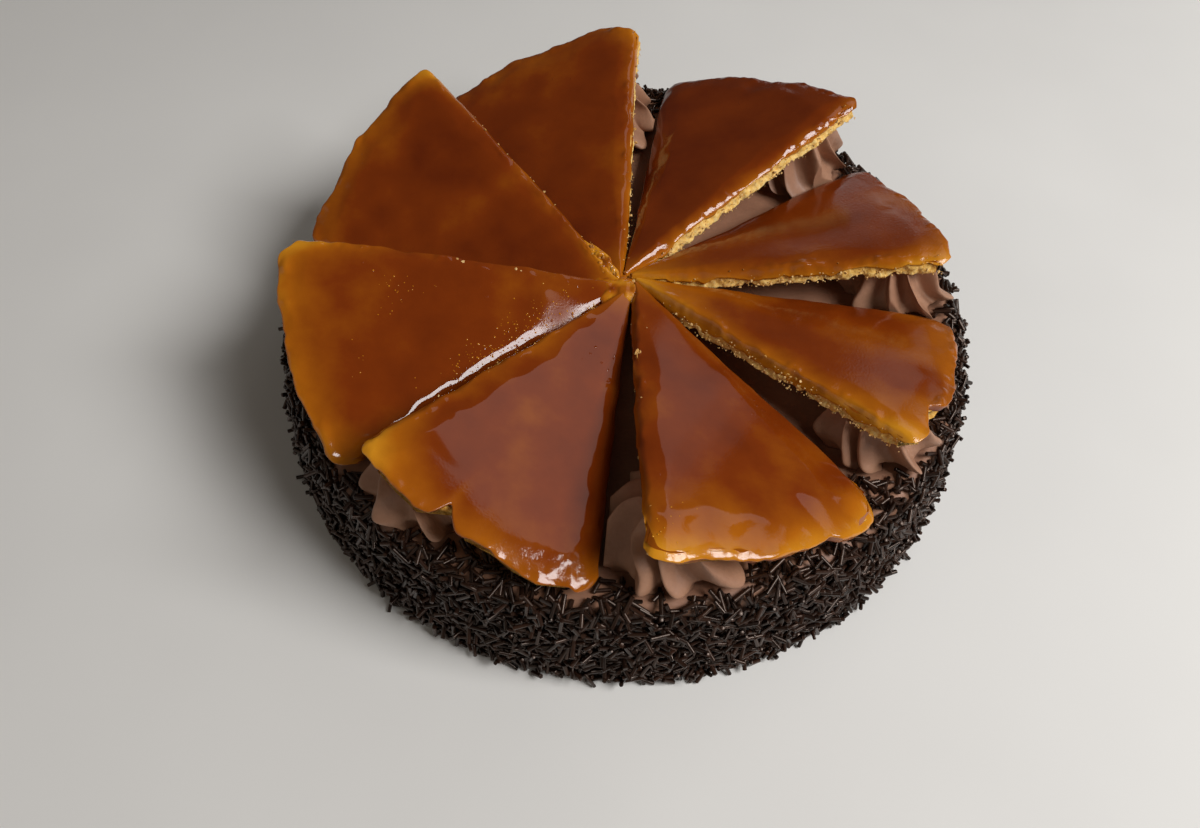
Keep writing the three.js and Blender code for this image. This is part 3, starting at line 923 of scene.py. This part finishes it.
def make_crust():
    """A tube of oval section along the raised edge: the upper half is lifted by two sizes of lumps."""
    cut = SLICES[-1]
    along = np.linspace(0, 1, CRUST_ROWS)[:, None]
    cosine, sine = np.cos(full_turn(CRUST_SIDES)), np.sin(full_turn(CRUST_SIDES))
    radius = CRUST_ENDS[0] + (CRUST_ENDS[1] - CRUST_ENDS[0]) * along
    taper = np.sqrt(np.clip(1.02 - (2 * along - 1) ** 2, 0.01, 1)) * (1.3 - 0.8 * along)
    across = CRUST_HALF * taper * (1 + 0.4 * soft_noise(3.0, 73, radius, 4 * cosine)) * cosine
    lumps = np.clip(0.8 + noise_sum(CRUST_LUMPS, 0, radius, across), 0.15, None)
    up = np.where(sine > 0, CRUST_RISE * lumps, 0.8) * taper * sine
    rings = in_seat(radius, cut["angle"] - (0.3 + across) / radius, CARAMEL_FACE - 0.2 + up)
    points, faces = closed_rings(rings)
    gold = 0.85 + 0.4 * soft_noise(2.0, 76, *points.T[:2])
    grain = 0.3 + 0.3 * soft_noise(1.5, 77, *points.T[:2])
    stored = {"amber": gold, "grain": grain, "bubbles": grain}
    return put_piece("sugar_crust", to_cake(cut, points), faces, CARAMEL, stored)


crust = make_crust()
print("crust:", len(crust.data.polygons), "faces")

# %% [markdown]
# ## The sponge under the caramel
#
# Where a slice was cut, its thin sponge shows as a crumbly band. The band's look is all in its broken
# face, so the shape is a ring, a box section with many points in its walls, carried from the tip to the
# rim, and the points of the walls are pushed in and out by noise at the size of the crumb.

# %% Make the sponge
SPONGE_TIP = 3.0
SPONGE_BEHIND = 0.5
CRAG = 0.6
CRAG_DEPTH = 0.35
WALLS_APART = 30
CRAG_NOISE = [(1.0, 4.6, 12), (0.8, 2.2, 17), (0.5, 1.1, 13), (0.2, 0.6, 15)]
RAGGED_FOOT = 1.4
FOOT_NOISE = [(1.0, 4.8, 14), (0.7, 2.0, 16), (0.4, 0.9, 18)]
RING_FLAT = 10
RING_WALL = 12
SPONGE_ROWS = 320


def sponge_ring():
    """A box section walked once round: share of the way across and share of the thickness."""
    flat = np.linspace(0, 1, RING_FLAT, endpoint=False)
    wall = np.linspace(0, 1, RING_WALL, endpoint=False)
    across = np.concatenate([flat, np.ones(RING_WALL), 1 - flat, np.zeros(RING_WALL)])
    level = np.concatenate([np.zeros(RING_FLAT), wall, np.ones(RING_FLAT), 1 - wall])
    return across[None, :], level[None, :]


def sponge_grid(cut):
    """The ring carried outwards: angle from the share across, radius from the row, crags on the walls."""
    across, level = sponge_ring()
    along = np.linspace(0, 1, SPONGE_ROWS)[:, None]
    rim = poured_edge(cut, across) - SKIRT_THICKNESS - CLEARANCE
    radius = SPONGE_TIP + (rim - SPONGE_TIP) * along
    height = SPONGE_THICKNESS * level
    apart = WALLS_APART * across
    crag = noise_sum(CRAG_NOISE, cut["low"], radius, apart, height) - CRAG_DEPTH
    bare = 1 - 0.6 * smooth_step(-0.2, 0.1, level + cut["cover"] - 1)
    outwards = np.where(across == 1, bare, 0.0) - np.where(across == 0, 1.0, 0.0)
    behind = SPONGE_BEHIND + cut["undercut"] * (1 - level) * across
    turn = (cut["angle"] - (SPONGE_BEHIND + behind) / radius) * across + SPONGE_BEHIND / radius
    turn = strayed(cut, turn, radius, across) + CRAG * crag * outwards / radius
    ragged = np.clip(noise_sum(FOOT_NOISE, cut["low"], radius, apart), 0, None)
    height = height + RAGGED_FOOT * ragged * (1 - level)
    soak = cut["soak"] * np.maximum(0.35 + 0.65 * level**1.2, smooth_step(0.97, 1.0, along))
    return in_seat(radius, turn, height), soak


def make_sponge(number, cut):
    """The carried ring, closed by a fan at the tip and another at the rim."""
    grid, soak = sponge_grid(cut)
    points, faces = closed_rings(grid)
    stored = {"soak": np.append(soak.ravel(), [0.5, 1.0])}
    piece = put_piece(f"sponge_layer_{number}", to_cake(cut, points), faces, SPONGE, stored)
    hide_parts(f"sponge_{number}")
    return piece


sponges = [make_sponge(number, cut) for number, cut in enumerate(SLICES, 1)]
print("sponge:", len(sponges), "pieces of", len(sponges[0].data.polygons), "faces")

# %% [markdown]
# ## The rosettes
#
# A rosette is piped through a star nozzle, so it has rounded arms with hollows between them. The first
# squeeze makes the arms bulge just above the foot, and higher up their crests grow sharper. The hand
# turns a little as it lifts, and some arms wander or curl at the toe. The slice then rests on the star
# and presses its top flat. In polar form that is short: the radius falls with the height, a power of a
# sine cuts the hollows, and points above the slice are pushed under it.

# %% Make the rosettes
ROSETTE_RADIUS = 20.0
ROSETTE_HEIGHT = 30.0
ROSETTE_LOBES = 9
ROSETTE_GROOVE = 0.42
ROSETTE_CREST = 1.7
ROSETTE_TWIST = math.radians(50)
ROSETTE_REACH = 93.0
ROSETTE_INSET = 7.0
ROSETTE_TURNS = 288
ROSETTE_LEVELS = 80
ARM_ROW = 6
TOE_BLUNT = 0.5
TOE_HEIGHT = 0.3
TOE_FILL = 0.16
TOE_CURL = 0.25
CURL_HEIGHT = 0.12
ARM_WANDER = 0.2
ROSETTE_SWELL = [1.0, 1.1, 1.08, 0.94, 0.93, 1.0, 1.0, 1.0]
FOLD = 0.3
TOE_SWELL = 0.08
TOE_LEVEL = 0.16
TOE_SPREAD = 0.14
LOBE_SHIFT = 0.2
LOBE_UNEVEN = 0.07
CREAM_NOISE = [(0.7, 7.0, 3), (0.12, 1.8, 4)]
rosette_chance = np.random.default_rng(5)


def raised_azimuth(cut):
    """Azimuth in degrees of a slice's raised edge, seen from above."""
    across = math.tan(cut["angle"]) * math.cos(math.radians(cut["tilt"]))
    return cut["low"] - math.degrees(math.atan(across))


def rosette_centre(cut):
    """The foot of a rosette, near the rim and just inside the raised edge of its slice."""
    azimuth = math.radians(raised_azimuth(cut) + ROSETTE_INSET)
    return np.array([ROSETTE_REACH * math.cos(azimuth), ROSETTE_REACH * math.sin(azimuth)]), azimuth


def pressed(index, points):
    """Points pushed under their slice, and sideways clear of the low edge of the slice before it."""
    cut, before = SLICES[index], SLICES[index - 1]
    seated = to_seat(cut, points)
    seated[..., 2] = np.minimum(seated[..., 2], -CLEARANCE)
    points = to_cake(cut, seated)
    heading = math.radians(before["low"])
    aside = np.array([-math.sin(heading), math.cos(heading), 0.0])
    room = CARAMEL_FACE * math.sin(math.radians(before["tilt"])) + CLEARANCE
    missing = np.clip(room - points @ aside, 0, None)
    points = points + missing[..., None] * aside
    points[..., 2] = np.maximum(points[..., 2], DRUM_HEIGHT)
    return points


def rosette_grid(index):
    """Star radius over turn and level: crests uneven in length and place, hollows between, then pressed."""
    centre, azimuth = rosette_centre(SLICES[index])
    turn = full_turn(ROSETTE_TURNS)[None, :]
    level = np.sin(np.linspace(0, np.pi / 2, ROSETTE_LEVELS))[:, None]
    waves = np.arange(1, 4)[:, None, None]
    phase = rosette_chance.uniform(0, 2 * np.pi, (2, 3, 1, 1))
    shift = (LOBE_SHIFT * np.sin(waves * turn + phase[0])).sum(axis=0)
    uneven = 1 + (LOBE_UNEVEN * np.sin(waves * turn + phase[1])).sum(axis=0)
    at_foot = bell(level, TOE_HEIGHT)
    lobe = ROSETTE_LOBES / 2 * turn + shift
    hollow = np.abs(np.sin(lobe + FOLD * np.sin(2 * lobe))) ** (ROSETTE_CREST + TOE_BLUNT * at_foot)
    cone = (1 - np.clip(level, 0, 1) ** 1.7) ** 0.8 * (0.82 + 0.18 * smooth_step(0, 0.16, level))
    toe = (1 + TOE_SWELL * bell(level - TOE_LEVEL, TOE_SPREAD)) * ROSETTE_SWELL[index]
    radius = ROSETTE_RADIUS * cone * toe * uneven * (1 - (ROSETTE_GROOVE - TOE_FILL * at_foot) * hollow)
    curl = TOE_CURL * np.exp(-level / CURL_HEIGHT) * np.sin(turn + phase[0, 0])
    ring = ROSETTE_RADIUS * np.cos(turn), ROSETTE_RADIUS * np.sin(turn)
    curl = curl + ARM_WANDER * soft_noise(9.0, index + 6.0, *ring, ROSETTE_HEIGHT * level)
    twisted = turn - ROSETTE_TWIST * level + azimuth * ROSETTE_LOBES + curl
    x = centre[0] + radius * np.cos(twisted)
    y = centre[1] + radius * np.sin(twisted)
    z = DRUM_HEIGHT + ROSETTE_HEIGHT * level + 0.0 * turn
    soft = noise_sum(CREAM_NOISE, index, x, y, z)
    soft = soft + 0.2 * soft_noise(1.7, index + 5.0, *ring, 6.0 * level)
    points = np.stack([x + soft * np.cos(twisted), y + soft * np.sin(twisted), z], axis=-1)
    SLICES[index]["arms"] = (twisted[ARM_ROW] % (2 * np.pi), radius[ARM_ROW])
    return pressed(index, points)


def make_rosette(index):
    """The lobed grid, closed below by a fan."""
    points, faces = closed_rings(rosette_grid(index), ends=1)
    piece = put_piece(f"piped_rosette_{index + 1}", points, faces, ROSETTE_CREAM)
    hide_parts(f"rosette_{index + 1}")
    return piece


rosettes = [make_rosette(index) for index in range(len(SLICES))]
print("rosettes:", len(rosettes), "pieces of", len(rosettes[0].data.polygons), "faces")

# %% [markdown]
# ## The drum
#
# The cake under the crown is a drum with a slight taper, a rounded rim and a low mound in the middle
# that the tips of the slices lean on. It is a profile carried once round the axis. The palette knife
# leaves it a little uneven, more so on the side, where the coat of strands hides it.

# %% Make the drum
FOOT_RADIUS = 119.0
RIM_RADIUS = 114.5
RIM_ROUND = 5.0
MOUND_RADIUS = 60.0
MOUND_RISE = 3.7
DRUM_SIDES = 300
BULGES = [(0.4, 14.0, 31), (0.25, 5.0, 32)]


def drum_profile():
    """Radius and height from the foot up the side, round the rim, over the top and up the mound."""
    shoulder = RIM_RADIUS - RIM_ROUND
    arc = np.linspace(0, np.pi / 2, 9)
    s = np.linspace(0, 1, 20)
    mound_radius = MOUND_RADIUS * ((1 - s) ** 3 + 1.5 * s * (1 - s))
    mound_rise = MOUND_RISE * (3 * s**2 - 2 * s**3)
    side = np.linspace(0, 1, 24, endpoint=False)
    top = np.linspace(0, 1, 36, endpoint=False)[1:]
    radius = [FOOT_RADIUS + (RIM_RADIUS - FOOT_RADIUS) * side, shoulder + RIM_ROUND * np.cos(arc)]
    radius += [shoulder + (MOUND_RADIUS - shoulder) * top, mound_radius]
    height = [(DRUM_HEIGHT - RIM_ROUND) * side, DRUM_HEIGHT - RIM_ROUND + RIM_ROUND * np.sin(arc)]
    height += [np.full(len(top), DRUM_HEIGHT), DRUM_HEIGHT + mound_rise]
    return np.concatenate(radius)[:, None], np.concatenate(height)[:, None]


def drum_grid():
    """The profile carried round the axis, with slow noise on the side and knife marks on the top."""
    radius, height = drum_profile()
    turn = full_turn(DRUM_SIDES)[None, :]
    x, y = radius * np.cos(turn), radius * np.sin(turn)
    side = 1 - smooth_step(DRUM_HEIGHT - RIM_ROUND, DRUM_HEIGHT, height)
    bulge = side * noise_sum(BULGES, 0, x, y, height)
    marks = (1 - side) * (0.15 * soft_noise(16.0, 33, x, y) + 0.07 * soft_noise(4.0, 34, x, 4 * y))
    radius = radius + bulge * np.minimum(1, height)
    grid = [radius * np.cos(turn), radius * np.sin(turn), height + marks]
    return np.stack(grid, axis=-1), side + 0.0 * turn


# The side share is stored as coat; there the cream is painted as packed strands, with painted shade in the
# gaps.
grid, coat_shade_share = drum_grid()
points, faces = closed_rings(grid, ends=1)
stored = {"coat": np.append(coat_shade_share.ravel(), 1.0)}
drum = put_piece("cream_drum", points, faces, DRUM_CREAM, stored)
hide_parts("cake_body")
print("drum:", len(drum.data.polygons), "faces")

# %% [markdown]
# ## The coat of vermicelli
#
# Thousands of chocolate strands are pressed into the side and scattered over the rim. A particle system
# could throw them on, but one mesh made from arrays is lighter and keeps every strand where it is. A
# rule that spreads points evenly gives the places, so the coat has no bald spots. The first strands lie
# flat, later ones are heaped on them with more lift, and a strand that would cut into the crown is dropped.

# %% Places of the strands
STRAND_COUNT = 9900
STRAND_RADIUS = 0.68
STRAND_SIDES = 6
STRAND_END = 0.25
STRAND_LENGTH = (3.6, 6.4)
STRAND_WIDTHS = (0.82, 1.15)
STRAND_CREASE = 64
RIM_BAND = 16.0
HEAP = 3.0
FLAT_LIFT = 12.0
HEAPED_LIFT = 36.0
EVEN_STEPS = (0.7548776662466927, 0.5698402909980532)
STRAND_SEED = 23
chance = np.random.default_rng(STRAND_SEED)


def covered_line(share):
    """Radius, height and slope of the outward normal along the side, the rim and the edge of the top."""
    shoulder = RIM_RADIUS - RIM_ROUND
    side_rise = DRUM_HEIGHT - RIM_ROUND
    side = math.hypot(FOOT_RADIUS - RIM_RADIUS, side_rise)
    arc = RIM_ROUND * np.pi / 2
    walked = share * (side + arc + RIM_BAND)
    up = np.clip(walked / side, 0, 1)
    bend = np.clip((walked - side) / arc, 0, 1) * np.pi / 2
    inwards = np.clip(walked - side - arc, 0, None)
    radius = FOOT_RADIUS - (FOOT_RADIUS - RIM_RADIUS) * up - RIM_ROUND * (1 - np.cos(bend)) - inwards
    height = side_rise * up + RIM_ROUND * np.sin(bend)
    return radius, height, bend, inwards


def turned(angle, first, second):
    """The direction that an angle gives, from the first direction towards the second."""
    return np.cos(angle)[:, None] * first + np.sin(angle)[:, None] * second


def strand_places():
    """Centre, direction, outward normal and length of each strand, thinned out on the inside of the top.

    Steps by the powers of one irrational number, taken modulo 1, spread the places evenly. How late a
    strand comes sets how high it is heaped and how far it may lift from the surface.
    """
    order = np.arange(STRAND_COUNT)
    share, round_share = ((0.5 + step * order) % 1.0 for step in EVEN_STEPS)
    late = order / STRAND_COUNT
    radius, height, slope, inwards = covered_line(share)
    thin = np.where(inwards > 0, 0.95 - 0.8 * inwards / RIM_BAND, 1.0)
    keep = chance.random(STRAND_COUNT) < thin
    radius, height, slope, late, round_share = (v[keep] for v in (radius, height, slope, late, round_share))
    count = len(radius)
    azimuth = 2 * np.pi * round_share
    x_axis, y_axis, up = np.eye(3)
    out, around = turned(azimuth, x_axis, y_axis), turned(azimuth, y_axis, -x_axis)
    normal, upward = turned(slope, out, up), turned(slope, up, -out)
    turn = np.pi * chance.random(count)
    lift = np.radians(chance.normal(0, FLAT_LIFT + (HEAPED_LIFT - FLAT_LIFT) * late**2, count))
    axis = turned(lift, turned(turn, around, upward), normal)
    proud = 0.2 + HEAP * late * chance.uniform(0.4, 1.0, count)
    centre = radius[:, None] * out + height[:, None] * up + proud[:, None] * normal
    length = chance.uniform(*STRAND_LENGTH, count)
    lowest = centre[:, 2] - np.abs(axis[:, 2]) * length / 2 - STRAND_RADIUS
    centre[:, 2] += np.clip(0.1 - lowest, 0, None)
    return centre, axis, normal, length


def clear_of_crown(centre):
    """True for a strand that meets no rosette and lies under no slice's low edge."""
    clear = np.ones(len(centre), bool)
    for cut in SLICES:
        beside = centre[:, :2] - rosette_centre(cut)[0]
        arms = np.interp(np.arctan2(beside[:, 1], beside[:, 0]), *cut["arms"], period=2 * np.pi)
        clear &= (np.hypot(*beside.T) > arms + 0.5) | (centre[:, 2] < DRUM_HEIGHT - 2)
        seated = to_seat(cut, centre)
        turn = -np.arctan2(seated[:, 1], seated[:, 0])
        span = cut["angle"]
        inside = (turn > -0.02) & (turn < span)
        inside &= np.hypot(seated[:, 0], seated[:, 1]) < poured_edge(cut, turn / span) + 0.5
        clear &= ~(inside & (seated[:, 2] > -1.5))
    return clear


strand_centre, strand_axis, strand_normal, strand_length = strand_places()
half_strand = strand_length[:, None] / 2 * strand_axis
clear = np.all([clear_of_crown(strand_centre + step * half_strand) for step in (-1, 0, 1)], axis=0)
print("strands:", int(clear.sum()), "kept of", len(clear))

# %% Make the vermicelli


def make_vermicelli(centre, axis, normal, length):
    """A ring of points near each end of a strand, the sides between them and a blunt point at both ends."""
    count = len(centre)
    u = np.cross(axis, normal)
    u = u / np.linalg.norm(u, axis=1, keepdims=True)
    v = np.cross(axis, u)
    circle = turned(full_turn(STRAND_SIDES), u[:, None], v[:, None])
    width = STRAND_RADIUS * chance.uniform(*STRAND_WIDTHS, (count, 1, 1, 1))
    half = length[:, None] / 2 * np.array([-1.0, 1.0])
    spine = centre[:, None] + half[..., None] * axis[:, None]
    rings = (spine[:, :, None] + width * circle[:, None]).reshape(count, -1, 3)
    ends = spine + STRAND_END * np.sign(half)[..., None] * axis[:, None]
    points = np.concatenate([rings, ends], axis=1)
    faces = [repeat_faces(block, points.shape[1], count) for block in ring_faces(2, STRAND_SIDES)]
    stored = {"shade": np.repeat(chance.random(count), points.shape[1])}
    return put_piece("vermicelli_coat", points, faces, VERMICELLI, stored, STRAND_CREASE)


kept = [values[clear] for values in (strand_centre, strand_axis, strand_normal, strand_length)]
coat = make_vermicelli(*kept)
coat.data.calc_loop_triangles()
print("vermicelli:", len(coat.data.loop_triangles), "triangles")

# %% [markdown]
# ## Crumbs
#
# Cutting the lid leaves crumbs: many along the raised edges where the sponge shows, some where the tips
# meet and on the crust of the last slice, and a few on the caramel. A crumb is a small ball of twenty
# triangles with its corners pushed about. All crumbs are one mesh.

# %% Make the crumbs
CRUMB_SEED = 41
EDGE_CRUMBS = [60, 60, 40, 240, 200, 200, 80, 60]
CRUMB_CREASE = 30
LIP_CRUMBS = 7
MIDDLE_CRUMBS = 60
TIP_CRUMBS = 300
SPOT_CRUMBS = 9
# A slice, a radius and a distance in from its raised edge.
STRAY_SPOTS = [(0, 58.0, 0.6), (0, 37.0, 0.5), (2, 26.0, 4.0), (2, 38.0, 0.2), (3, 30.0, 5.0), (1, 20.0, 0.4)]
crumb_chance = np.random.default_rng(CRUMB_SEED)


def icosahedron():
    """Twelve corners from three crossed golden rectangles, and the twenty triangles between them."""
    long = (1 + math.sqrt(5)) / 2
    signs = np.array([[-1, -1], [1, -1], [1, 1], [-1, 1]], float)
    flat = np.stack([signs[:, 0], long * signs[:, 1], np.zeros(4)], axis=-1)
    corners = np.concatenate([flat, np.roll(flat, 1, axis=1), np.roll(flat, 2, axis=1)])
    steps = np.linalg.norm(corners[:, None] - corners[None], axis=-1)
    joined = (steps > 0.1) & (steps < 2.1)
    triples = [
        (a, b, c)
        for a in range(12) for b in range(a + 1, 12) for c in range(b + 1, 12)
        if joined[a, b] and joined[b, c] and joined[a, c]
    ]
    return corners / np.linalg.norm(corners[0]), np.array(triples)


def on_slice(cut, radius, inwards, height):
    """Places on a slice, at a radius and a distance in from its raised edge."""
    return to_cake(cut, in_seat(radius, cut["angle"] - inwards / radius, height))


def edge_crumbs(cut, count):
    """Places along the raised cut face, from the underside of the sponge up to its seam."""
    radius = crumb_chance.uniform(0.06, 0.98, count) * cut["reach"]
    outwards = edge_wander(cut, radius, 1) + crumb_chance.normal(-0.2, 0.3, count)
    height = SPONGE_THICKNESS * crumb_chance.random(count) ** 1.4
    return on_slice(cut, radius, cut["undercut"] * (1 - height / SPONGE_THICKNESS) - outwards, height)


def lip_crumbs(cut, count):
    """Places on top of the caramel close to the raised edge, more of them towards the tip."""
    radius = cut["reach"] * crumb_chance.uniform(0.04, 1.0, count) ** 1.6
    return on_slice(cut, radius, np.abs(crumb_chance.normal(0.8, 0.8, count)), CARAMEL_FACE - 0.7)


def middle_crumbs(count):
    """Places round the spot where the tips meet."""
    turn = crumb_chance.uniform(0, 2 * np.pi, count)
    radius = 1.0 + np.abs(crumb_chance.normal(0, 5.0, count))
    height = TIP_UNDERSIDE + 5.8 + crumb_chance.normal(0, 0.4, count)
    return np.stack([radius * np.cos(turn), radius * np.sin(turn), height], axis=-1)


def tip_crumbs(count):
    """Places on the raised edge of the last slice, close to its tip."""
    radius = crumb_chance.uniform(4.0, 20.0, count)
    inwards = crumb_chance.uniform(-1.0, 2.2, count)
    return on_slice(SLICES[-1], radius, inwards, CARAMEL_FACE + crumb_chance.uniform(-1.2, 0.5, count))


def stray_crumbs(count):
    """A small cluster of places on the caramel round each spot of the list."""
    places = []
    for index, radius, inwards in STRAY_SPOTS:
        radius = radius + crumb_chance.normal(0, 1.4, count)
        inwards = inwards + crumb_chance.normal(0, 0.5, count)
        places.append(on_slice(SLICES[index], radius, inwards, CARAMEL_FACE - 0.3))
    return np.concatenate(places)


def make_crumbs():
    """Small balls at all the places, each stretched and roughened at random.

    Each kind of place comes with the least and the greatest size and the darkest and the palest shade.
    """
    kinds = [(edge_crumbs(*each), 0.15, 0.45, 0.6, 1.0) for each in zip(SLICES, EDGE_CRUMBS)]
    kinds += [(lip_crumbs(cut, LIP_CRUMBS), 0.15, 0.4, 0.2, 1.0) for cut in SLICES]
    kinds.append((middle_crumbs(MIDDLE_CRUMBS), 0.25, 0.8, 0.0, 0.8))
    kinds.append((tip_crumbs(TIP_CRUMBS), 0.15, 0.55, 0.0, 0.6))
    kinds.append((stray_crumbs(SPOT_CRUMBS), 0.25, 0.7, 0.4, 1.0))
    centre = np.concatenate([kind[0] for kind in kinds])
    ranges = np.repeat([kind[1:] for kind in kinds], [len(kind[0]) for kind in kinds], axis=0)
    least, most, dark, pale = ranges.T
    count = len(centre)
    corners, triangles = icosahedron()
    size = least + (most - least) * crumb_chance.random(count) ** 2
    stretch = crumb_chance.uniform(0.5, 1.6, (count, 1, 3))
    rough = crumb_chance.uniform(0.55, 1.35, (count, len(corners), 1))
    points = centre[:, None] + size[:, None, None] * stretch * rough * corners[None]
    faces = repeat_faces(triangles, len(corners), count)
    stored = {"shade": np.repeat(dark + (pale - dark) * crumb_chance.random(count), len(corners))}
    return put_piece("crumbs", points, [faces], CRUMB, stored, CRUMB_CREASE)


crumbs = make_crumbs()
print("crumbs:", len(crumbs.data.polygons), "triangles")

# %% [markdown]
# Where the caramel boiled as it was poured, tiny beads of it stand on the face and catch the window as
# sparks. They are the same small balls, but smooth and flattened, and half sunk in the caramel. Their
# amber is raised towards gold, a painted highlight, so that they read as sparks and not as dark dots.

# %% Make the sugar beads
# A slice, a place along its low edge and one away from that edge, the spread of both, and a count.
BEAD_PATCHES = [
    (0, 46.0, 4.5, 13.0, 4.0, 260),
    (0, 66.0, 38.0, 4.0, 4.0, 30),
    (0, 90.0, 26.0, 3.0, 3.0, 6),
    (2, 80.0, 68.0, 3.0, 5.0, 25),
]
BEAD_SIZE = (0.15, 0.4)
BEAD_INSET = 1.5
# How much paler gold the beads are painted than the caramel under them: a painted highlight.
BEAD_SPARK_GOLD = 0.5
BEAD_FLAT = 0.45


def make_beads():
    """Flattened balls, spread round each patch by bell curves, with their centres on the caramel's face."""
    corners, triangles = icosahedron()
    corners = corners * (1, 1, BEAD_FLAT)
    points, amber = [], []
    for index, along, away, along_spread, away_spread, count in BEAD_PATCHES:
        cut = SLICES[index]
        x = crumb_chance.normal(along, along_spread, count)
        away = BEAD_INSET + np.abs(crumb_chance.normal(away, away_spread, count))
        radius, turn = np.hypot(x, away), np.arctan2(away, x)
        from_raised = radius * np.sin(cut["angle"] - turn)
        from_rim = whole_edge(cut, turn / cut["angle"]) - radius
        spot = cut, x, -away, away, from_raised, from_rim
        size = BEAD_SIZE[0] + (BEAD_SIZE[1] - BEAD_SIZE[0]) * crumb_chance.random(count) ** 2
        seated = np.stack([x, -away, caramel_top(*spot)], axis=-1)[:, None] + size[:, None, None] * corners
        kept = (from_raised > 1) & (from_rim > 2)
        points.append(to_cake(cut, seated[kept]).reshape(-1, 3))
        amber.append(np.repeat(amber_value(*spot)[kept], len(corners)))
    points, amber = np.concatenate(points), np.concatenate(amber)
    faces = repeat_faces(triangles, len(corners), len(points) // len(corners))
    # The beads' amber is raised by the painted highlight, so they show as golden sparks.
    stored = {"amber": amber + BEAD_SPARK_GOLD, "grain": 0.0 * amber, "bubbles": 0.0 * amber}
    return put_piece("sugar_beads", points, [faces], CARAMEL, stored)


beads = make_beads()
print("beads:", len(beads.data.polygons), "triangles")

# %% [markdown]
# ## Table and light
#
# The cake stands on a plain pale table in soft light from the right, as from a window. Caramel is a
# mirror, so what it does not see matters as much: the room is nearly dark. Dim panels behind on the
# right give the nearest slices their broad pale fields. Three of them are nested, so that a field grows
# brighter inwards. A low glow at the back lights the rims, and two weak warm fills open the shadows.

# %% Table, lights and world
TABLE_HALF = 3.0
ROOM_COLOUR = (1.0, 0.9, 0.8, 1.0)
ROOM_STRENGTH = 0.048
WHITE = (1.0, 1.0, 1.0)
WARM = (1.0, 0.9, 0.78)
# A name, the azimuth and elevation in degrees, the distance, width and height in metres, the radiance and
# the colour.
LIGHTS = [
    ("window_light", -18, 48, 1.3, 0.65, 0.56, 13.0, WHITE),
    ("upper_panel", 44, 47, 1.3, 0.72, 0.6, 0.72, WHITE),
    ("lower_panel", 62.7, 26.5, 1.3, 0.22, 0.34, 0.18, WHITE),
    ("inner_panel", 63.2, 27, 1.25, 0.17, 0.3, 0.13, WHITE),
    ("core_panel", 63.8, 28, 1.2, 0.12, 0.25, 0.11, WHITE),
    ("far_glow", 80.5, 12, 1.6, 0.48, 0.21, 0.65, WHITE),
    ("front_fill", -125, 35, 1.5, 1.4, 1.0, 0.22, WARM),
    ("left_fill", 190, 30, 1.5, 1.2, 0.8, 0.3, WARM),
]


def table_finish():
    """Pale grey with the faintest cloudiness."""
    material, tree, shader = start_material("pale_table", Roughness=0.6, Specular_IOR_Level=0.2)
    stops = [(0.3, (0.79, 0.772, 0.742)), (0.7, (0.84, 0.822, 0.79))]
    paint(tree, shader, noise_node(tree, 6.0), stops)
    return material


def add_area(name, azimuth, elevation, distance, width, height, radiance, colour):
    """A rectangle of light that faces the cake. Its power is the radiance times its area times pi."""
    data = bpy.data.lights.new(name, "AREA")
    data.shape = "RECTANGLE"
    data.size, data.size_y = width, height
    data.energy = radiance * width * height * math.pi
    data.color = colour
    lamp = bpy.data.objects.new(name, data)
    a, e = math.radians(azimuth), math.radians(elevation)
    lamp.location = distance * Vector((math.cos(e) * math.cos(a), math.cos(e) * math.sin(a), math.sin(e)))
    lamp.rotation_euler = (-lamp.location).to_track_quat("-Z", "Y").to_euler()
    lamp.visible_camera = False
    bpy.context.scene.collection.objects.link(lamp)
    return lamp


table_mesh = bpy.data.meshes.new("table")
table_corners = TABLE_HALF * np.array([[-1, -1, 0], [1, -1, 0], [1, 1, 0], [-1, 1, 0]], float)
table_mesh.from_pydata(table_corners.tolist(), [], [(0, 1, 2, 3)])
table = bpy.data.objects.new("table", table_mesh)
table_mesh.materials.append(table_finish())
bpy.context.scene.collection.objects.link(table)

lights = [add_area(*row) for row in LIGHTS]
world = bpy.data.worlds.new("soft_grey")
world.use_nodes = True
background = world.node_tree.nodes["Background"].inputs
background["Color"].default_value = ROOM_COLOUR
background["Strength"].default_value = ROOM_STRENGTH
bpy.context.scene.world = world
bpy.context.scene.view_settings.view_transform = "Standard"
print("lights:", {lamp.name: round(lamp.data.energy, 2) for lamp in lights})
